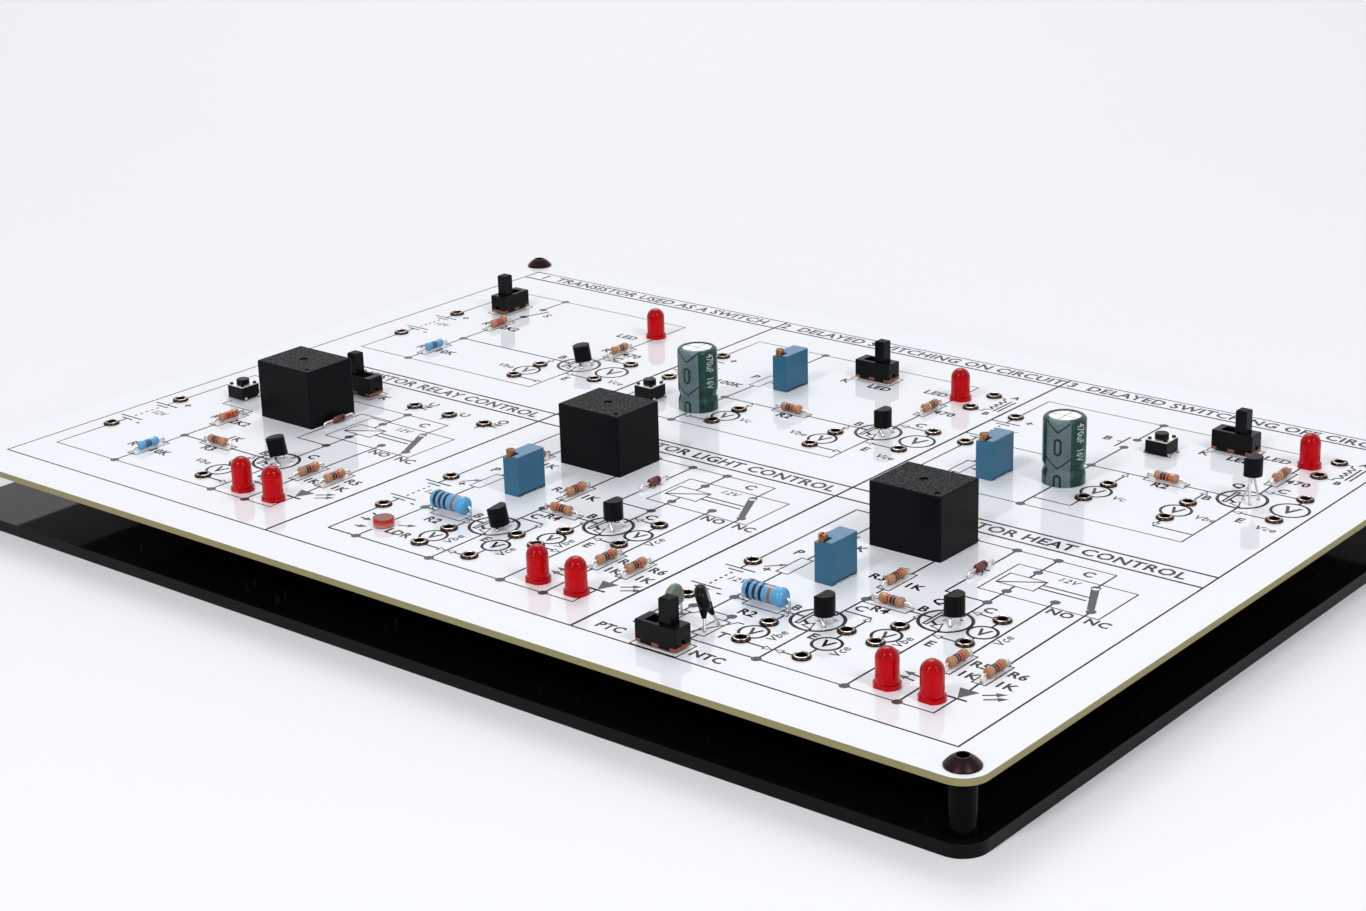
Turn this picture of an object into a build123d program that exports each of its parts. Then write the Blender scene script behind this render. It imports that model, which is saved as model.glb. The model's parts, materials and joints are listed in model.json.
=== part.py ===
from build123d import *
import os
from math import copysign, cos, radians, sin, sqrt

os.makedirs("parts", exist_ok=True)

# Board, base and the posts between them, in millimetres
board_width = 311.0
board_depth = 225.0
board_thickness = 1.6
base_thickness = 3.0
corner_radius = 6.0
post_height = 12.0
post_radius = 3.05
post_bevel = 0.25

# Corner screws
screw_inset = 5.5
screw_radius = 1.95
thread_gap = 0.05
screw_hole_gap = 0.25
head_radius = 3.75
head_height = 2.2
head_rim = 0.35
head_crown = 1.6
socket_flats = 2.5
socket_depth = 1.3
top_screw_reach = 4.4
bottom_screw_reach = 5.0
sunk_depth = 0.15
sunk_gap = 0.1

base_top = base_thickness
board_bottom = base_top + post_height
board_top = board_bottom + board_thickness
corner_x = board_width / 2 - screw_inset
corner_y = board_depth / 2 - screw_inset

# Wire leads, pins and the holes they pass through
lead_radius = 0.3
lead_gap = 0.15
lead_stub = 1.5
lead_bend = 0.6
lead_end = -board_thickness - lead_stub

# Places on the board count from the lower left corner of its printed frame
layout_corner = (-144.25, -101.0)


def stand(x, y, turn=0.0, height=0.0, lean=0.0):
    # A place on the board: turned about the vertical, then leaned towards the piece's own +X
    upright = Location((layout_corner[0] + x, layout_corner[1] + y, board_top + height), (0, 0, turn))
    return upright * Location((0, 0, 0), (0, lean, 0))


def keep(piece, name):
    # Label a finished piece and write it under the same name
    piece.part.label = name
    export_step(piece.part, f"parts/{name}.step")


def copies(master, places):
    # A separate solid of the same piece at each place
    with BuildPart() as group:
        with Locations(*places):
            add(master.part)
    return group


def gather(sets):
    # One node of separate solids: each piece at each of its places
    with BuildPart() as group:
        for piece, places in sets:
            with Locations(*places):
                add(piece.part)
    return group


def each(places, offsets):
    # Every offset from every place, level with the board
    return [place * Location((dx, dy, 0)) for place in places for dx, dy in offsets]


def two_ends(pitch):
    # The holes of an axial part on either side of its middle
    return [(-pitch / 2, 0), (pitch / 2, 0)]


def wire(points, radius=lead_radius, bend=lead_bend):
    # A round wire along straight runs joined by bends
    with BuildPart() as run:
        with BuildLine() as path:
            if len(points) > 2:
                FilletPolyline(*points, radius=bend)
            else:
                Line(*points)
        with BuildSketch(Plane(origin=points[0], z_dir=path.line % 0)):
            Circle(radius)
        sweep()
    return run


# Base plate, resting on its flat underside
with BuildPart() as base_plate:
    with BuildSketch():
        RectangleRounded(board_width, board_depth, corner_radius)
    extrude(amount=base_thickness)
    with Locations(Location((0, 0, 0), (180, 0, 0))):
        with GridLocations(2 * corner_x, 2 * corner_y, 2, 2):
            CounterSinkHole(
                screw_radius + screw_hole_gap,
                head_radius + sunk_depth + sunk_gap,
                depth=base_thickness,
                counter_sink_angle=90,
            )
keep(base_plate, "base_plate")

# Round posts, threaded through, with their ends bevelled
with BuildPart() as post:
    with BuildSketch(Plane.XY.offset(base_top)):
        Circle(post_radius)
    extrude(amount=post_height)
    chamfer(post.faces().sort_by(Axis.Z)[0].edges() + post.faces().sort_by(Axis.Z)[-1].edges(), post_bevel)
    with BuildSketch(Plane.XY.offset(base_top)):
        Circle(screw_radius + thread_gap)
    extrude(amount=post_height, mode=Mode.SUBTRACT)
corners = [(x, y) for x in (-corner_x, corner_x) for y in (-corner_y, corner_y)]
keep(copies(post, corners), "posts")

# Button head screw, with its seat at z = 0
with BuildPart() as button_screw:
    with BuildSketch(Plane.XZ):
        with BuildLine():
            shank = board_thickness + top_screw_reach
            Polyline((0, head_height), (0, -shank), (screw_radius, -shank), (screw_radius, 0))
            Polyline((screw_radius, 0), (head_radius, 0), (head_radius, head_rim))
            crown_bend = (0.74 * head_radius, 0.64 * head_height)
            ThreePointArc((head_radius, head_rim), crown_bend, (head_crown, head_height))
            Line((head_crown, head_height), (0, head_height))
        make_face()
    revolve(axis=Axis.Z)
    with BuildSketch(Plane.XY.offset(head_height)):
        RegularPolygon(socket_flats / 2, 6, major_radius=False)
    extrude(amount=-socket_depth, mode=Mode.SUBTRACT)
top_screws = copies(button_screw, [Location((x, y, board_top)) for x, y in corners])
keep(top_screws, "top_screws")

# Countersunk screw, pointing up from its flat head at z = 0
with BuildPart() as sunk_screw:
    with BuildSketch(Plane.XZ):
        with BuildLine():
            tip = base_thickness - sunk_depth + bottom_screw_reach
            cone = head_radius - screw_radius
            Polyline((0, 0), (head_radius, 0), (screw_radius, cone), (screw_radius, tip), (0, tip), close=True)
        make_face()
    revolve(axis=Axis.Z)
    with BuildSketch():
        RegularPolygon(socket_flats / 2, 6, major_radius=False)
    extrude(amount=socket_depth, mode=Mode.SUBTRACT)
bottom_screws = copies(sunk_screw, [Location((x, y, sunk_depth)) for x, y in corners])
keep(bottom_screws, "bottom_screws")


# Relays, cube cased, standing square on the board
relay_length = 19.3
relay_width = 15.6
relay_height = 15.5
relay_wall = 0.8
relay_roof = 0.9
relay_round = 0.4
relay_fit = 0.1
relay_base_height = 2.2
vent_radius = 1.1
vent_depth = 0.4
relay_pin_radius = 0.5
relay_places = [stand(43.1, 63.65), stand(132.2, 82.25), stand(226.1, 81.65)]
relay_pin_spots = [(7.1, 0), (-7.1, 6.0), (-7.1, -6.0), (4.9, 6.0), (4.9, -6.0)]

with BuildPart() as relay_cover:
    with BuildSketch():
        RectangleRounded(relay_length, relay_width, relay_round)
    extrude(amount=relay_height)
    fillet(relay_cover.faces().sort_by(Axis.Z)[-1].edges(), relay_round)
    with BuildSketch():
        Rectangle(relay_length - 2 * relay_wall, relay_width - 2 * relay_wall)
    extrude(amount=relay_height - relay_roof, mode=Mode.SUBTRACT)
    with BuildSketch(Plane.XY.offset(relay_height)):
        Circle(vent_radius)
        with Locations((relay_length / 2 - 2.2, -relay_width / 2 + 2.0)):
            Circle(0.6 * vent_radius)
    extrude(amount=-vent_depth, mode=Mode.SUBTRACT)

with BuildPart() as relay_base:
    with BuildSketch():
        edge = relay_wall + relay_fit
        Rectangle(relay_length - 2 * edge, relay_width - 2 * edge)
    extrude(amount=relay_base_height)

# Yoke: an L of soft iron with the core standing on its foot
yoke_thickness = 1.0
yoke_width = 8.0
yoke_gap = 0.5
core_radius = 1.5
core_cap_radius = 2.8
core_cap = 0.6
coil_reach = 5.5
bobbin_height = 7.6
bobbin_flange = 0.8
bobbin_wall = 0.85
winding_radius = 4.4
coil_gap = 0.05
armature_air = 0.5
armature_gap = 0.05
armature_length = 8.1

yoke_back = -relay_length / 2 + relay_wall + yoke_gap
coil_x = yoke_back + coil_reach
coil_foot = relay_base_height + yoke_thickness
core_top = coil_foot + bobbin_height + core_cap
yoke_top = core_top + armature_air

with BuildPart() as relay_yoke:
    with BuildSketch(Plane.XZ.offset(-yoke_width / 2)):
        with BuildLine():
            Polyline(
                (yoke_back, relay_base_height),
                (coil_x + winding_radius, relay_base_height),
                (coil_x + winding_radius, coil_foot),
                (yoke_back + yoke_thickness, coil_foot),
                (yoke_back + yoke_thickness, yoke_top),
                (yoke_back, yoke_top),
                close=True,
            )
        make_face()
    extrude(amount=yoke_width)
    with BuildSketch(Plane.XY.offset(coil_foot)):
        with Locations((coil_x, 0)):
            Circle(core_radius)
    extrude(amount=bobbin_height)
    with BuildSketch(Plane.XY.offset(core_top - core_cap)):
        with Locations((coil_x, 0)):
            Circle(core_cap_radius)
    extrude(amount=core_cap)

with BuildPart() as relay_bobbin:
    tube_radius = core_radius + coil_gap + bobbin_wall
    with BuildSketch(Plane.XY.offset(coil_foot)):
        with Locations((coil_x, 0)):
            Circle(tube_radius)
    extrude(amount=bobbin_height)
    for level in (coil_foot, coil_foot + bobbin_height - bobbin_flange):
        with BuildSketch(Plane.XY.offset(level)):
            with Locations((coil_x, 0)):
                Circle(winding_radius)
        extrude(amount=bobbin_flange)
    with BuildSketch(Plane.XY.offset(coil_foot)):
        with Locations((coil_x, 0)):
            Circle(core_radius + coil_gap)
    extrude(amount=bobbin_height, mode=Mode.SUBTRACT)

with BuildPart() as relay_winding:
    with BuildSketch(Plane.XY.offset(coil_foot + bobbin_flange + coil_gap)):
        with Locations((coil_x, 0)):
            Circle(winding_radius - 0.2)
            Circle(tube_radius + coil_gap, mode=Mode.SUBTRACT)
    extrude(amount=bobbin_height - 2 * bobbin_flange - 2 * coil_gap)

# Armature: an iron plate whose rolled back end turns on the yoke's top edge, with the contact blade
blade_thickness = 0.2
blade_width = 3.0
blade_end = 7.4
contact_radius = 0.7
contact_height = 0.3
contact_x = 6.4
contact_gap = 0.05
armature_angle = 3.0
armature_bottom = yoke_top + armature_gap
armature_thickness = 1.0
blade_bottom = armature_bottom + armature_thickness
armature_pivot = (yoke_back + yoke_thickness / 2, armature_bottom + armature_thickness / 2)

with BuildPart() as relay_armature:
    with BuildSketch(Plane.XZ.offset(-yoke_width / 2)):
        with Locations(armature_pivot):
            Circle(armature_thickness / 2)
            Rectangle(armature_length, armature_thickness, align=(Align.MIN, Align.CENTER))
    extrude(amount=yoke_width)
    with BuildSketch(Plane.XY.offset(blade_bottom)):
        with Locations(((yoke_back + 2 + blade_end) / 2, 0)):
            Rectangle(blade_end - yoke_back - 2, blade_width)
    extrude(amount=blade_thickness)
    with BuildSketch(Plane.XY.offset(blade_bottom - contact_height)):
        with Locations((contact_x, 0)):
            Circle(contact_radius)
    extrude(amount=2 * contact_height + blade_thickness)

# Fixed contact strips: one above the blade that it rests against, one below that it closes on
strip_thickness = 0.2
strip_width = 2.4
strip_x = 7.8
strip_side = 4.0
blade_drop = (contact_x + contact_radius - armature_pivot[0]) * sin(radians(armature_angle))
upper_strip = blade_bottom + blade_thickness + contact_height + contact_gap
lower_strip = blade_bottom - contact_height - blade_drop - contact_gap - strip_thickness


def contact_strip(side, level):
    # A post on the relay's base that reaches over the blade's contact at this level
    with BuildPart() as strip:
        with BuildSketch(Plane.XY.offset(relay_base_height)):
            with Locations((strip_x + strip_thickness / 2, side * (strip_side - strip_width / 2))):
                Rectangle(strip_thickness, strip_width)
        extrude(amount=level + strip_thickness - relay_base_height)
        with BuildSketch(Plane.XY.offset(level)):
            reach = strip_x + strip_thickness - contact_x + contact_radius
            across = strip_side + contact_radius
            with Locations((strip_x + strip_thickness - reach / 2, side * (strip_side - across / 2))):
                Rectangle(reach, across)
        extrude(amount=strip_thickness)
    return strip


relay_pin = wire([(0, 0, 0), (0, 0, lead_end)], relay_pin_radius)
terminal_sets = [
    (contact_strip(-1, upper_strip), relay_places),
    (contact_strip(1, lower_strip), relay_places),
    (relay_pin, each(relay_places, relay_pin_spots)),
]
keep(gather(terminal_sets), "relay_terminals")
keep(copies(relay_base, relay_places), "relay_bases")
keep(copies(relay_winding, relay_places), "relay_windings")
keep(copies(relay_yoke, relay_places), "relay_yokes")

for number, place in enumerate(relay_places, 1):
    keep(copies(relay_cover, [place]), f"relay_{number}_cover")
    keep(copies(relay_bobbin, [place]), f"relay_{number}_bobbin")
    keep(copies(relay_armature, [place]), f"relay_{number}_armature")


# Slide switches, long axis along X before they are turned
switch_length = 11.0
switch_width = 5.3
switch_top = 5.4
switch_rise = 0.5
switch_wall = 0.5
switch_roof = 0.6
switch_round = 0.4
switch_bevel = 0.2
switch_base_height = 0.7
switch_fit = 0.05
switch_travel = 3.6
window_width = 3.3
knob_size = 3.0
knob_top = 11.2
knob_gap = 0.2
knob_groove = 0.25
knob_pitch = 0.55
carrier_length = 5.8
carrier_height = 1.9
corner_tab = 1.6
middle_tab = 1.8
end_slot_width = 1.3
end_slot_height = 1.2
switch_pin_pitch = 3.0
switch_pin_radius = 0.4
pad_radius = 0.8
pad_height = 0.1

# The knob's place at rest is the last value: 1 at its far end along X, -1 at its near end
switch_layout = [
    (20.5, 166.25, 90, -1),
    (148.6, 173.6, 0, 1),
    (254.0, 176.6, 0, 1),
    (41.3, 85.1, 0, -1),
    (214.2, 3.8, 0, 1),
]
switch_places = [stand(x, y, turn) for x, y, turn, side in switch_layout]
switch_pin_spots = [(-switch_pin_pitch, 0), (0, 0), (switch_pin_pitch, 0)]
base_line = switch_rise + switch_base_height

with BuildPart() as switch_housing:
    with BuildSketch(Plane.XY.offset(switch_rise)):
        RectangleRounded(switch_length, switch_width, switch_round)
    extrude(amount=switch_top - switch_rise)
    chamfer(switch_housing.faces().sort_by(Axis.Z)[-1].edges(), switch_bevel)
    with BuildSketch(Plane.XY.offset(switch_rise)):
        Rectangle(switch_length - 2 * switch_wall, switch_width - 2 * switch_wall)
    extrude(amount=switch_top - switch_roof - switch_rise, mode=Mode.SUBTRACT)
    with BuildSketch(Plane.XY.offset(switch_top)):
        Rectangle(switch_travel + knob_size + 2 * knob_gap, window_width)
    extrude(amount=-switch_roof, mode=Mode.SUBTRACT)
    # Notches along the bottom edge that the base's tabs fill
    with BuildSketch(Plane.XY.offset(switch_rise)):
        Rectangle(middle_tab + 2 * switch_fit, switch_width)
        tab_place = (switch_length - corner_tab) / 2
        with Locations((-tab_place, 0), (tab_place, 0)):
            Rectangle(corner_tab + 2 * switch_fit, switch_width)
    extrude(amount=switch_base_height + switch_fit, mode=Mode.SUBTRACT)
    with BuildSketch(Plane.XY.offset(base_line)):
        Rectangle(switch_length, end_slot_width)
    extrude(amount=end_slot_height, mode=Mode.SUBTRACT)

with BuildPart() as switch_base:
    with BuildSketch(Plane.XY.offset(switch_rise)):
        inner = 2 * (switch_wall + switch_fit)
        Rectangle(switch_length - inner, switch_width - inner)
        Rectangle(middle_tab, switch_width)
        with Locations((-tab_place, 0), (tab_place, 0)):
            Rectangle(corner_tab, switch_width)
    extrude(amount=switch_base_height)
    fillet(switch_base.edges().filter_by(Axis.Z).group_by(Axis.X)[0], 0.4)
    fillet(switch_base.edges().filter_by(Axis.Z).group_by(Axis.X)[-1], 0.4)
    with Locations(Location((0, 0, base_line))):
        with Locations(*switch_pin_spots):
            Hole(switch_pin_radius + switch_fit, depth=switch_base_height)

with BuildPart() as switch_terminal:
    with BuildSketch(Plane.XY.offset(base_line)):
        Circle(pad_radius)
    extrude(amount=pad_height)
    with BuildSketch(Plane.XY.offset(base_line)):
        Circle(switch_pin_radius)
    extrude(amount=lead_end - base_line)

keep(copies(switch_terminal, each(switch_places, switch_pin_spots)), "slide_switch_terminals")
keep(copies(switch_housing, switch_places), "slide_switch_housings")
keep(copies(switch_base, switch_places), "slide_switch_bases")

# Knob with its carrier, and the bridge under it that joins two contacts
carrier_top = switch_top - switch_roof - switch_fit
with BuildPart() as switch_knob:
    with BuildSketch(Plane.XY.offset(carrier_top - carrier_height)):
        Rectangle(carrier_length, switch_width - 2 * switch_wall - 2 * knob_gap)
    extrude(amount=carrier_height)
    with BuildSketch(Plane.XY.offset(carrier_top)):
        Rectangle(knob_size, knob_size)
    extrude(amount=knob_top - carrier_top)
    chamfer(switch_knob.faces().sort_by(Axis.Z)[-1].edges(), 0.25)
    # Grip grooves across the top
    with BuildSketch(Plane.XY.offset(knob_top)):
        with GridLocations(knob_pitch, 1, 4, 1):
            Rectangle(knob_groove, knob_size)
    extrude(amount=-knob_groove, mode=Mode.SUBTRACT)

with BuildPart() as switch_bridge:
    bridge_bottom = base_line + pad_height + switch_fit
    with BuildSketch(Plane.XY.offset(bridge_bottom)):
        Rectangle(switch_pin_pitch + pad_radius, 2 * pad_radius)
    extrude(amount=carrier_top - carrier_height - bridge_bottom)

for number, (x, y, turn, side) in enumerate(switch_layout, 1):
    rest = [stand(x, y, turn) * Location((side * switch_travel / 2, 0, 0))]
    keep(gather([(switch_knob, rest), (switch_bridge, rest)]), f"slide_switch_{number}_knob")


# Push buttons
button_size = 6.0
button_rise = 0.3
button_body_height = 3.3
button_cover = 0.25
button_well_radius = 2.4
button_floor = 0.8
plunger_radius = 1.75
plunger_fit = 0.05
plunger_top = 5.1
flange_radius = 2.25
flange_height = 0.5
flange_gap = 0.05
press_travel = 0.25
nub_radius = 0.7
dome_radius = 2.2
dome_crown = 1.3
dome_rise = 0.5
dome_sheet = 0.2
stud_radius = 0.5
stud_inset = 0.85
stud_height = 0.3
leg_width = 0.7
leg_thickness = 0.2
leg_spread = 3.35
leg_pitch = 4.5
leg_level = 0.9
leg_hole_radius = 0.5
button_places = [stand(107.8, 126.8), stand(239.5, 165.65), stand(17.0, 64.4)]
leg_spots = [(x, y) for x in (-leg_spread, leg_spread) for y in (-leg_pitch / 2, leg_pitch / 2)]
cover_line = button_rise + button_body_height

with BuildPart() as button_body:
    with BuildSketch(Plane.XY.offset(button_rise)):
        RectangleRounded(button_size, button_size, 0.3)
    extrude(amount=button_body_height)
    with BuildSketch(Plane.XY.offset(cover_line)):
        Circle(button_well_radius)
    extrude(amount=button_floor - button_body_height, mode=Mode.SUBTRACT)
    with BuildSketch(Plane.XY.offset(cover_line)):
        stud_pitch = button_size - 2 * stud_inset
        with GridLocations(stud_pitch, stud_pitch, 2, 2):
            Circle(stud_radius)
    extrude(amount=button_cover + stud_height)
keep(copies(button_body, button_places), "button_bodies")

with BuildPart() as button_plate:
    with BuildSketch(Plane.XY.offset(cover_line)):
        RectangleRounded(button_size, button_size, 0.3)
        Circle(plunger_radius + plunger_fit, mode=Mode.SUBTRACT)
        with GridLocations(stud_pitch, stud_pitch, 2, 2):
            Circle(stud_radius + plunger_fit, mode=Mode.SUBTRACT)
    extrude(amount=button_cover)
keep(copies(button_plate, button_places), "button_covers")

with BuildPart() as button_dome:
    dome_foot = button_rise + button_floor
    dome_top = dome_foot + dome_rise
    with BuildSketch(Plane.XZ):
        with BuildLine():
            Polyline(
                (0, dome_top),
                (dome_crown, dome_top),
                (dome_radius, dome_foot),
                (dome_radius - dome_sheet, dome_foot),
                (dome_crown - dome_sheet / 2, dome_top - dome_sheet),
                (0, dome_top - dome_sheet),
                close=True,
            )
        make_face()
    revolve(axis=Axis.Z)
keep(copies(button_dome, button_places), "button_domes")

with BuildPart() as button_plunger:
    flange_top = cover_line - flange_gap
    nub_bottom = button_rise + button_floor + dome_rise + press_travel + flange_gap
    with BuildSketch(Plane.XY.offset(nub_bottom)):
        Circle(nub_radius)
    extrude(amount=flange_top - nub_bottom)
    with BuildSketch(Plane.XY.offset(flange_top - flange_height)):
        Circle(flange_radius)
    extrude(amount=flange_height)
    with BuildSketch(Plane.XY.offset(flange_top)):
        Circle(plunger_radius)
    extrude(amount=plunger_top - flange_top)
    chamfer(button_plunger.faces().sort_by(Axis.Z)[-1].edges(), 0.2)
for number, place in enumerate(button_places, 1):
    keep(copies(button_plunger, [place]), f"button_{number}_plunger")

with BuildPart() as button_leg:
    with BuildSketch(Plane.XZ.offset(-leg_width / 2)):
        with BuildLine():
            outside = leg_spread + leg_thickness / 2
            inside = leg_spread - leg_thickness / 2
            Polyline(
                (button_size / 2, leg_level),
                (outside, leg_level),
                (outside, lead_end),
                (inside, lead_end),
                (inside, leg_level - leg_thickness),
                (button_size / 2, leg_level - leg_thickness),
                close=True,
            )
        make_face()
    extrude(amount=leg_width)
leg_turns = [Location((0, y, 0), (0, 0, turn)) for turn in (0, 180) for y in (-leg_pitch / 2, leg_pitch / 2)]
keep(copies(button_leg, [place * turned for place in button_places for turned in leg_turns]), "button_legs")


# Multi-turn trimmers, long axis along Y, adjusting screw at the low end of Y
trimmer_width = 4.83
trimmer_length = 9.53
trimmer_height = 10.03
trimmer_wall = 0.6
trimmer_roof = 1.2
trimmer_seal = 1.2
trimmer_rise = 0.4
trimmer_step = 0.6
trimmer_fit = 0.05
trim_screw_radius = 1.1
trim_screw_x = -0.85
trim_screw_y = -3.45
trim_screw_top = 11.3
trim_slot = 0.45
worm_radius = 0.6
rotor_radius = 2.9
rotor_thickness = 1.6
rotor_mesh = 0.2
rotor_level = 5.2
axle_radius = 0.6
trimmer_pin_radius = 0.3
trimmer_pin_pitch = 2.54
trimmer_places = [stand(133.3, 155.1), stand(214.5, 129.05), stand(128.6, 54.95), stand(221.9, 53.8)]
trimmer_pin_spots = [(0, -trimmer_pin_pitch), (0, 0), (0, trimmer_pin_pitch)]
rotor_y = trim_screw_y + worm_radius + rotor_mesh + rotor_radius
cavity_top = trimmer_height - trimmer_roof
seal_top = trimmer_rise + trimmer_seal

with BuildPart() as trimmer_body:
    with BuildSketch():
        Rectangle(trimmer_width, trimmer_length)
    extrude(amount=trimmer_height)
    fillet(trimmer_body.edges().filter_by(Axis.Z), 0.25)
    # Lowered corner under the adjusting screw
    with BuildSketch(Plane.XY.offset(trimmer_height)):
        step_width = trimmer_width / 2 + trim_screw_x + trim_screw_radius + 0.4
        step_length = trimmer_length / 2 + trim_screw_y + trim_screw_radius + 0.4
        with Locations((-trimmer_width / 2, -trimmer_length / 2)):
            Rectangle(step_width, step_length, align=(Align.MIN, Align.MIN))
    extrude(amount=-trimmer_step, mode=Mode.SUBTRACT)
    # Feet along the two short sides: the long sides are cut away under the body
    with BuildSketch():
        Rectangle(trimmer_width, trimmer_length - 3.2)
    extrude(amount=trimmer_rise, mode=Mode.SUBTRACT)
    with BuildSketch():
        Rectangle(trimmer_width - 2 * trimmer_wall, trimmer_length - 2 * trimmer_wall)
    extrude(amount=cavity_top, mode=Mode.SUBTRACT)
    with BuildSketch(Plane.XY.offset(cavity_top)):
        with Locations((trim_screw_x, trim_screw_y)):
            Circle(trim_screw_radius + trimmer_fit)
    extrude(amount=trimmer_roof, mode=Mode.SUBTRACT)
    # Fixed axle of the rotor, from wall to wall
    with BuildSketch(Plane.YZ.offset(-trimmer_width / 2 + trimmer_wall / 2)):
        with Locations((rotor_y, rotor_level)):
            Circle(axle_radius)
    extrude(amount=trimmer_width - trimmer_wall)
keep(copies(trimmer_body, trimmer_places), "trimmer_bodies")

with BuildPart() as trimmer_seal_plate:
    with BuildSketch(Plane.XY.offset(trimmer_rise)):
        seal_edge = 2 * (trimmer_wall + trimmer_fit)
        Rectangle(trimmer_width - seal_edge, trimmer_length - seal_edge)
    extrude(amount=trimmer_seal)
keep(copies(trimmer_seal_plate, trimmer_places), "trimmer_seals")

with BuildPart() as trimmer_screw:
    worm_bottom = seal_top + trimmer_fit
    with BuildSketch(Plane.XY.offset(worm_bottom)):
        Circle(worm_radius)
    extrude(amount=cavity_top - worm_bottom)
    with BuildSketch(Plane.XY.offset(cavity_top)):
        Circle(trim_screw_radius)
    extrude(amount=trim_screw_top - cavity_top)
    chamfer(trimmer_screw.faces().sort_by(Axis.Z)[-1].edges(), 0.15)
    with BuildSketch(Plane.XY.offset(trim_screw_top)):
        Rectangle(2 * trim_screw_radius, trim_slot)
    extrude(amount=-0.6, mode=Mode.SUBTRACT)

with BuildPart() as trimmer_rotor:
    with BuildSketch(Plane.YZ.offset(-rotor_thickness / 2)):
        Circle(rotor_radius)
        Circle(axle_radius + trimmer_fit, mode=Mode.SUBTRACT)
    extrude(amount=rotor_thickness)

for number, place in enumerate(trimmer_places, 1):
    screw_place = place * Location((trim_screw_x, trim_screw_y, 0), (0, 0, 25 * number))
    keep(copies(trimmer_screw, [screw_place]), f"trimmer_{number}_screw")
    rotor_place = place * Location((0, rotor_y, rotor_level))
    keep(copies(trimmer_rotor, [rotor_place]), f"trimmer_{number}_rotor")

trimmer_pin = wire([(0, 0, trimmer_rise), (0, 0, lead_end)], trimmer_pin_radius)
keep(copies(trimmer_pin, each(trimmer_places, trimmer_pin_spots)), "trimmer_pins")


# Upright capacitors: can in a printed sleeve, with a rubber seal and the rolled foil inside
can_radius = 5.0
can_height = 16.5
can_wall = 0.3
sleeve_thickness = 0.2
sleeve_gap = 0.02
sleeve_curl = 1.1
bead_level = 4.0
bead_depth = 0.45
bead_spread = 1.9
seal_height = 2.0
foil_radius = 4.2
foil_height = 11.5
capacitor_pitch = 5.0
capacitor_places = [stand(123.9, 127.4), stand(230.5, 134.5)]
capacitor_lead_spots = [(0, -capacitor_pitch / 2), (0, capacitor_pitch / 2)]


def can_profile(radius, top, curl):
    # Half of a can's outline: straight wall, rolled bead above the seal, rounded top edge
    low = bead_level - bead_spread
    high = bead_level + bead_spread
    Line((0, 0), (radius, 0))
    Line((radius, 0), (radius, low))
    Spline(
        (radius, low),
        (radius - bead_depth, bead_level),
        (radius, high),
        tangents=((0, 1), (0, 1)),
    )
    Line((radius, high), (radius, top - curl))
    RadiusArc((radius, top - curl), (radius - curl, top), -curl)
    Line((radius - curl, top), (0, top))
    Line((0, top), (0, 0))


with BuildPart() as can:
    with BuildSketch(Plane.XZ):
        with BuildLine():
            can_profile(can_radius, can_height, 0.8)
        make_face()
    revolve(axis=Axis.Z)
    bore = can_radius - can_wall - bead_depth
    with BuildSketch():
        Circle(bore)
    extrude(amount=can_height - can_wall, mode=Mode.SUBTRACT)
    # Scored cross in the top
    with BuildSketch(Plane.XY.offset(can_height)):
        Rectangle(2 * can_radius - 3.6, 0.25)
        Rectangle(0.25, 2 * can_radius - 3.6)
    extrude(amount=-0.12, mode=Mode.SUBTRACT)
keep(copies(can, capacitor_places), "capacitor_cans")

with BuildPart() as sleeve:
    sleeve_radius = can_radius + sleeve_gap + sleeve_thickness
    sleeve_top = can_height + sleeve_gap + sleeve_thickness
    with BuildSketch(Plane.XZ):
        with BuildLine():
            can_profile(sleeve_radius, sleeve_top, 0.8 + sleeve_thickness)
        make_face()
    revolve(axis=Axis.Z)
    with BuildSketch(Plane.XZ):
        with BuildLine():
            can_profile(can_radius + sleeve_gap, can_height + sleeve_gap, 0.8)
        make_face()
    revolve(axis=Axis.Z, mode=Mode.SUBTRACT)
    with BuildSketch(Plane.XY.offset(sleeve_top)):
        Circle(can_radius - sleeve_curl)
    extrude(amount=-0.5, mode=Mode.SUBTRACT)
keep(copies(sleeve, capacitor_places), "capacitor_sleeves")

with BuildPart() as foil_roll:
    with BuildSketch(Plane.XY.offset(can_height - can_wall - 0.2 - foil_height)):
        Circle(foil_radius)
    extrude(amount=foil_height)
keep(copies(foil_roll, capacitor_places), "capacitor_foils")

with BuildPart() as end_seal:
    with BuildSketch():
        Circle(bore - 0.02)
    extrude(amount=can_height - can_wall - 0.2 - foil_height)
keep(copies(end_seal, capacitor_places), "capacitor_seals")


# Lights: 5 mm domed lenses on a flange with a flat at the negative side
lens_radius = 2.5
lens_height = 8.6
flange_reach = 2.9
flange_thickness = 1.0
led_pitch = 2.54
led_places = [
    stand(74.4, 169.4),
    stand(176.4, 172.0),
    stand(273.6, 176.7),
    stand(72.0, 15.25),
    stand(83.3, 14.95),
    stand(169.8, 14.4),
    stand(181.4, 14.0),
    stand(263.1, 14.3),
    stand(273.7, 14.4),
]
led_lead_spots = [(0, -led_pitch / 2), (0, led_pitch / 2)]

with BuildPart() as led:
    with BuildSketch(Plane.XZ):
        with BuildLine():
            Polyline((0, 0), (flange_reach, 0), (flange_reach, flange_thickness), (lens_radius, flange_thickness))
            Line((lens_radius, flange_thickness), (lens_radius, lens_height - lens_radius))
            RadiusArc((lens_radius, lens_height - lens_radius), (0, lens_height), -lens_radius)
            Line((0, lens_height), (0, 0))
        make_face()
    revolve(axis=Axis.Z)
    with BuildSketch():
        with Locations((0, -lens_radius)):
            Rectangle(2 * flange_reach, flange_reach, align=(Align.CENTER, Align.MAX))
    extrude(amount=flange_thickness, mode=Mode.SUBTRACT)
keep(copies(led, led_places), "leds")


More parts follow.
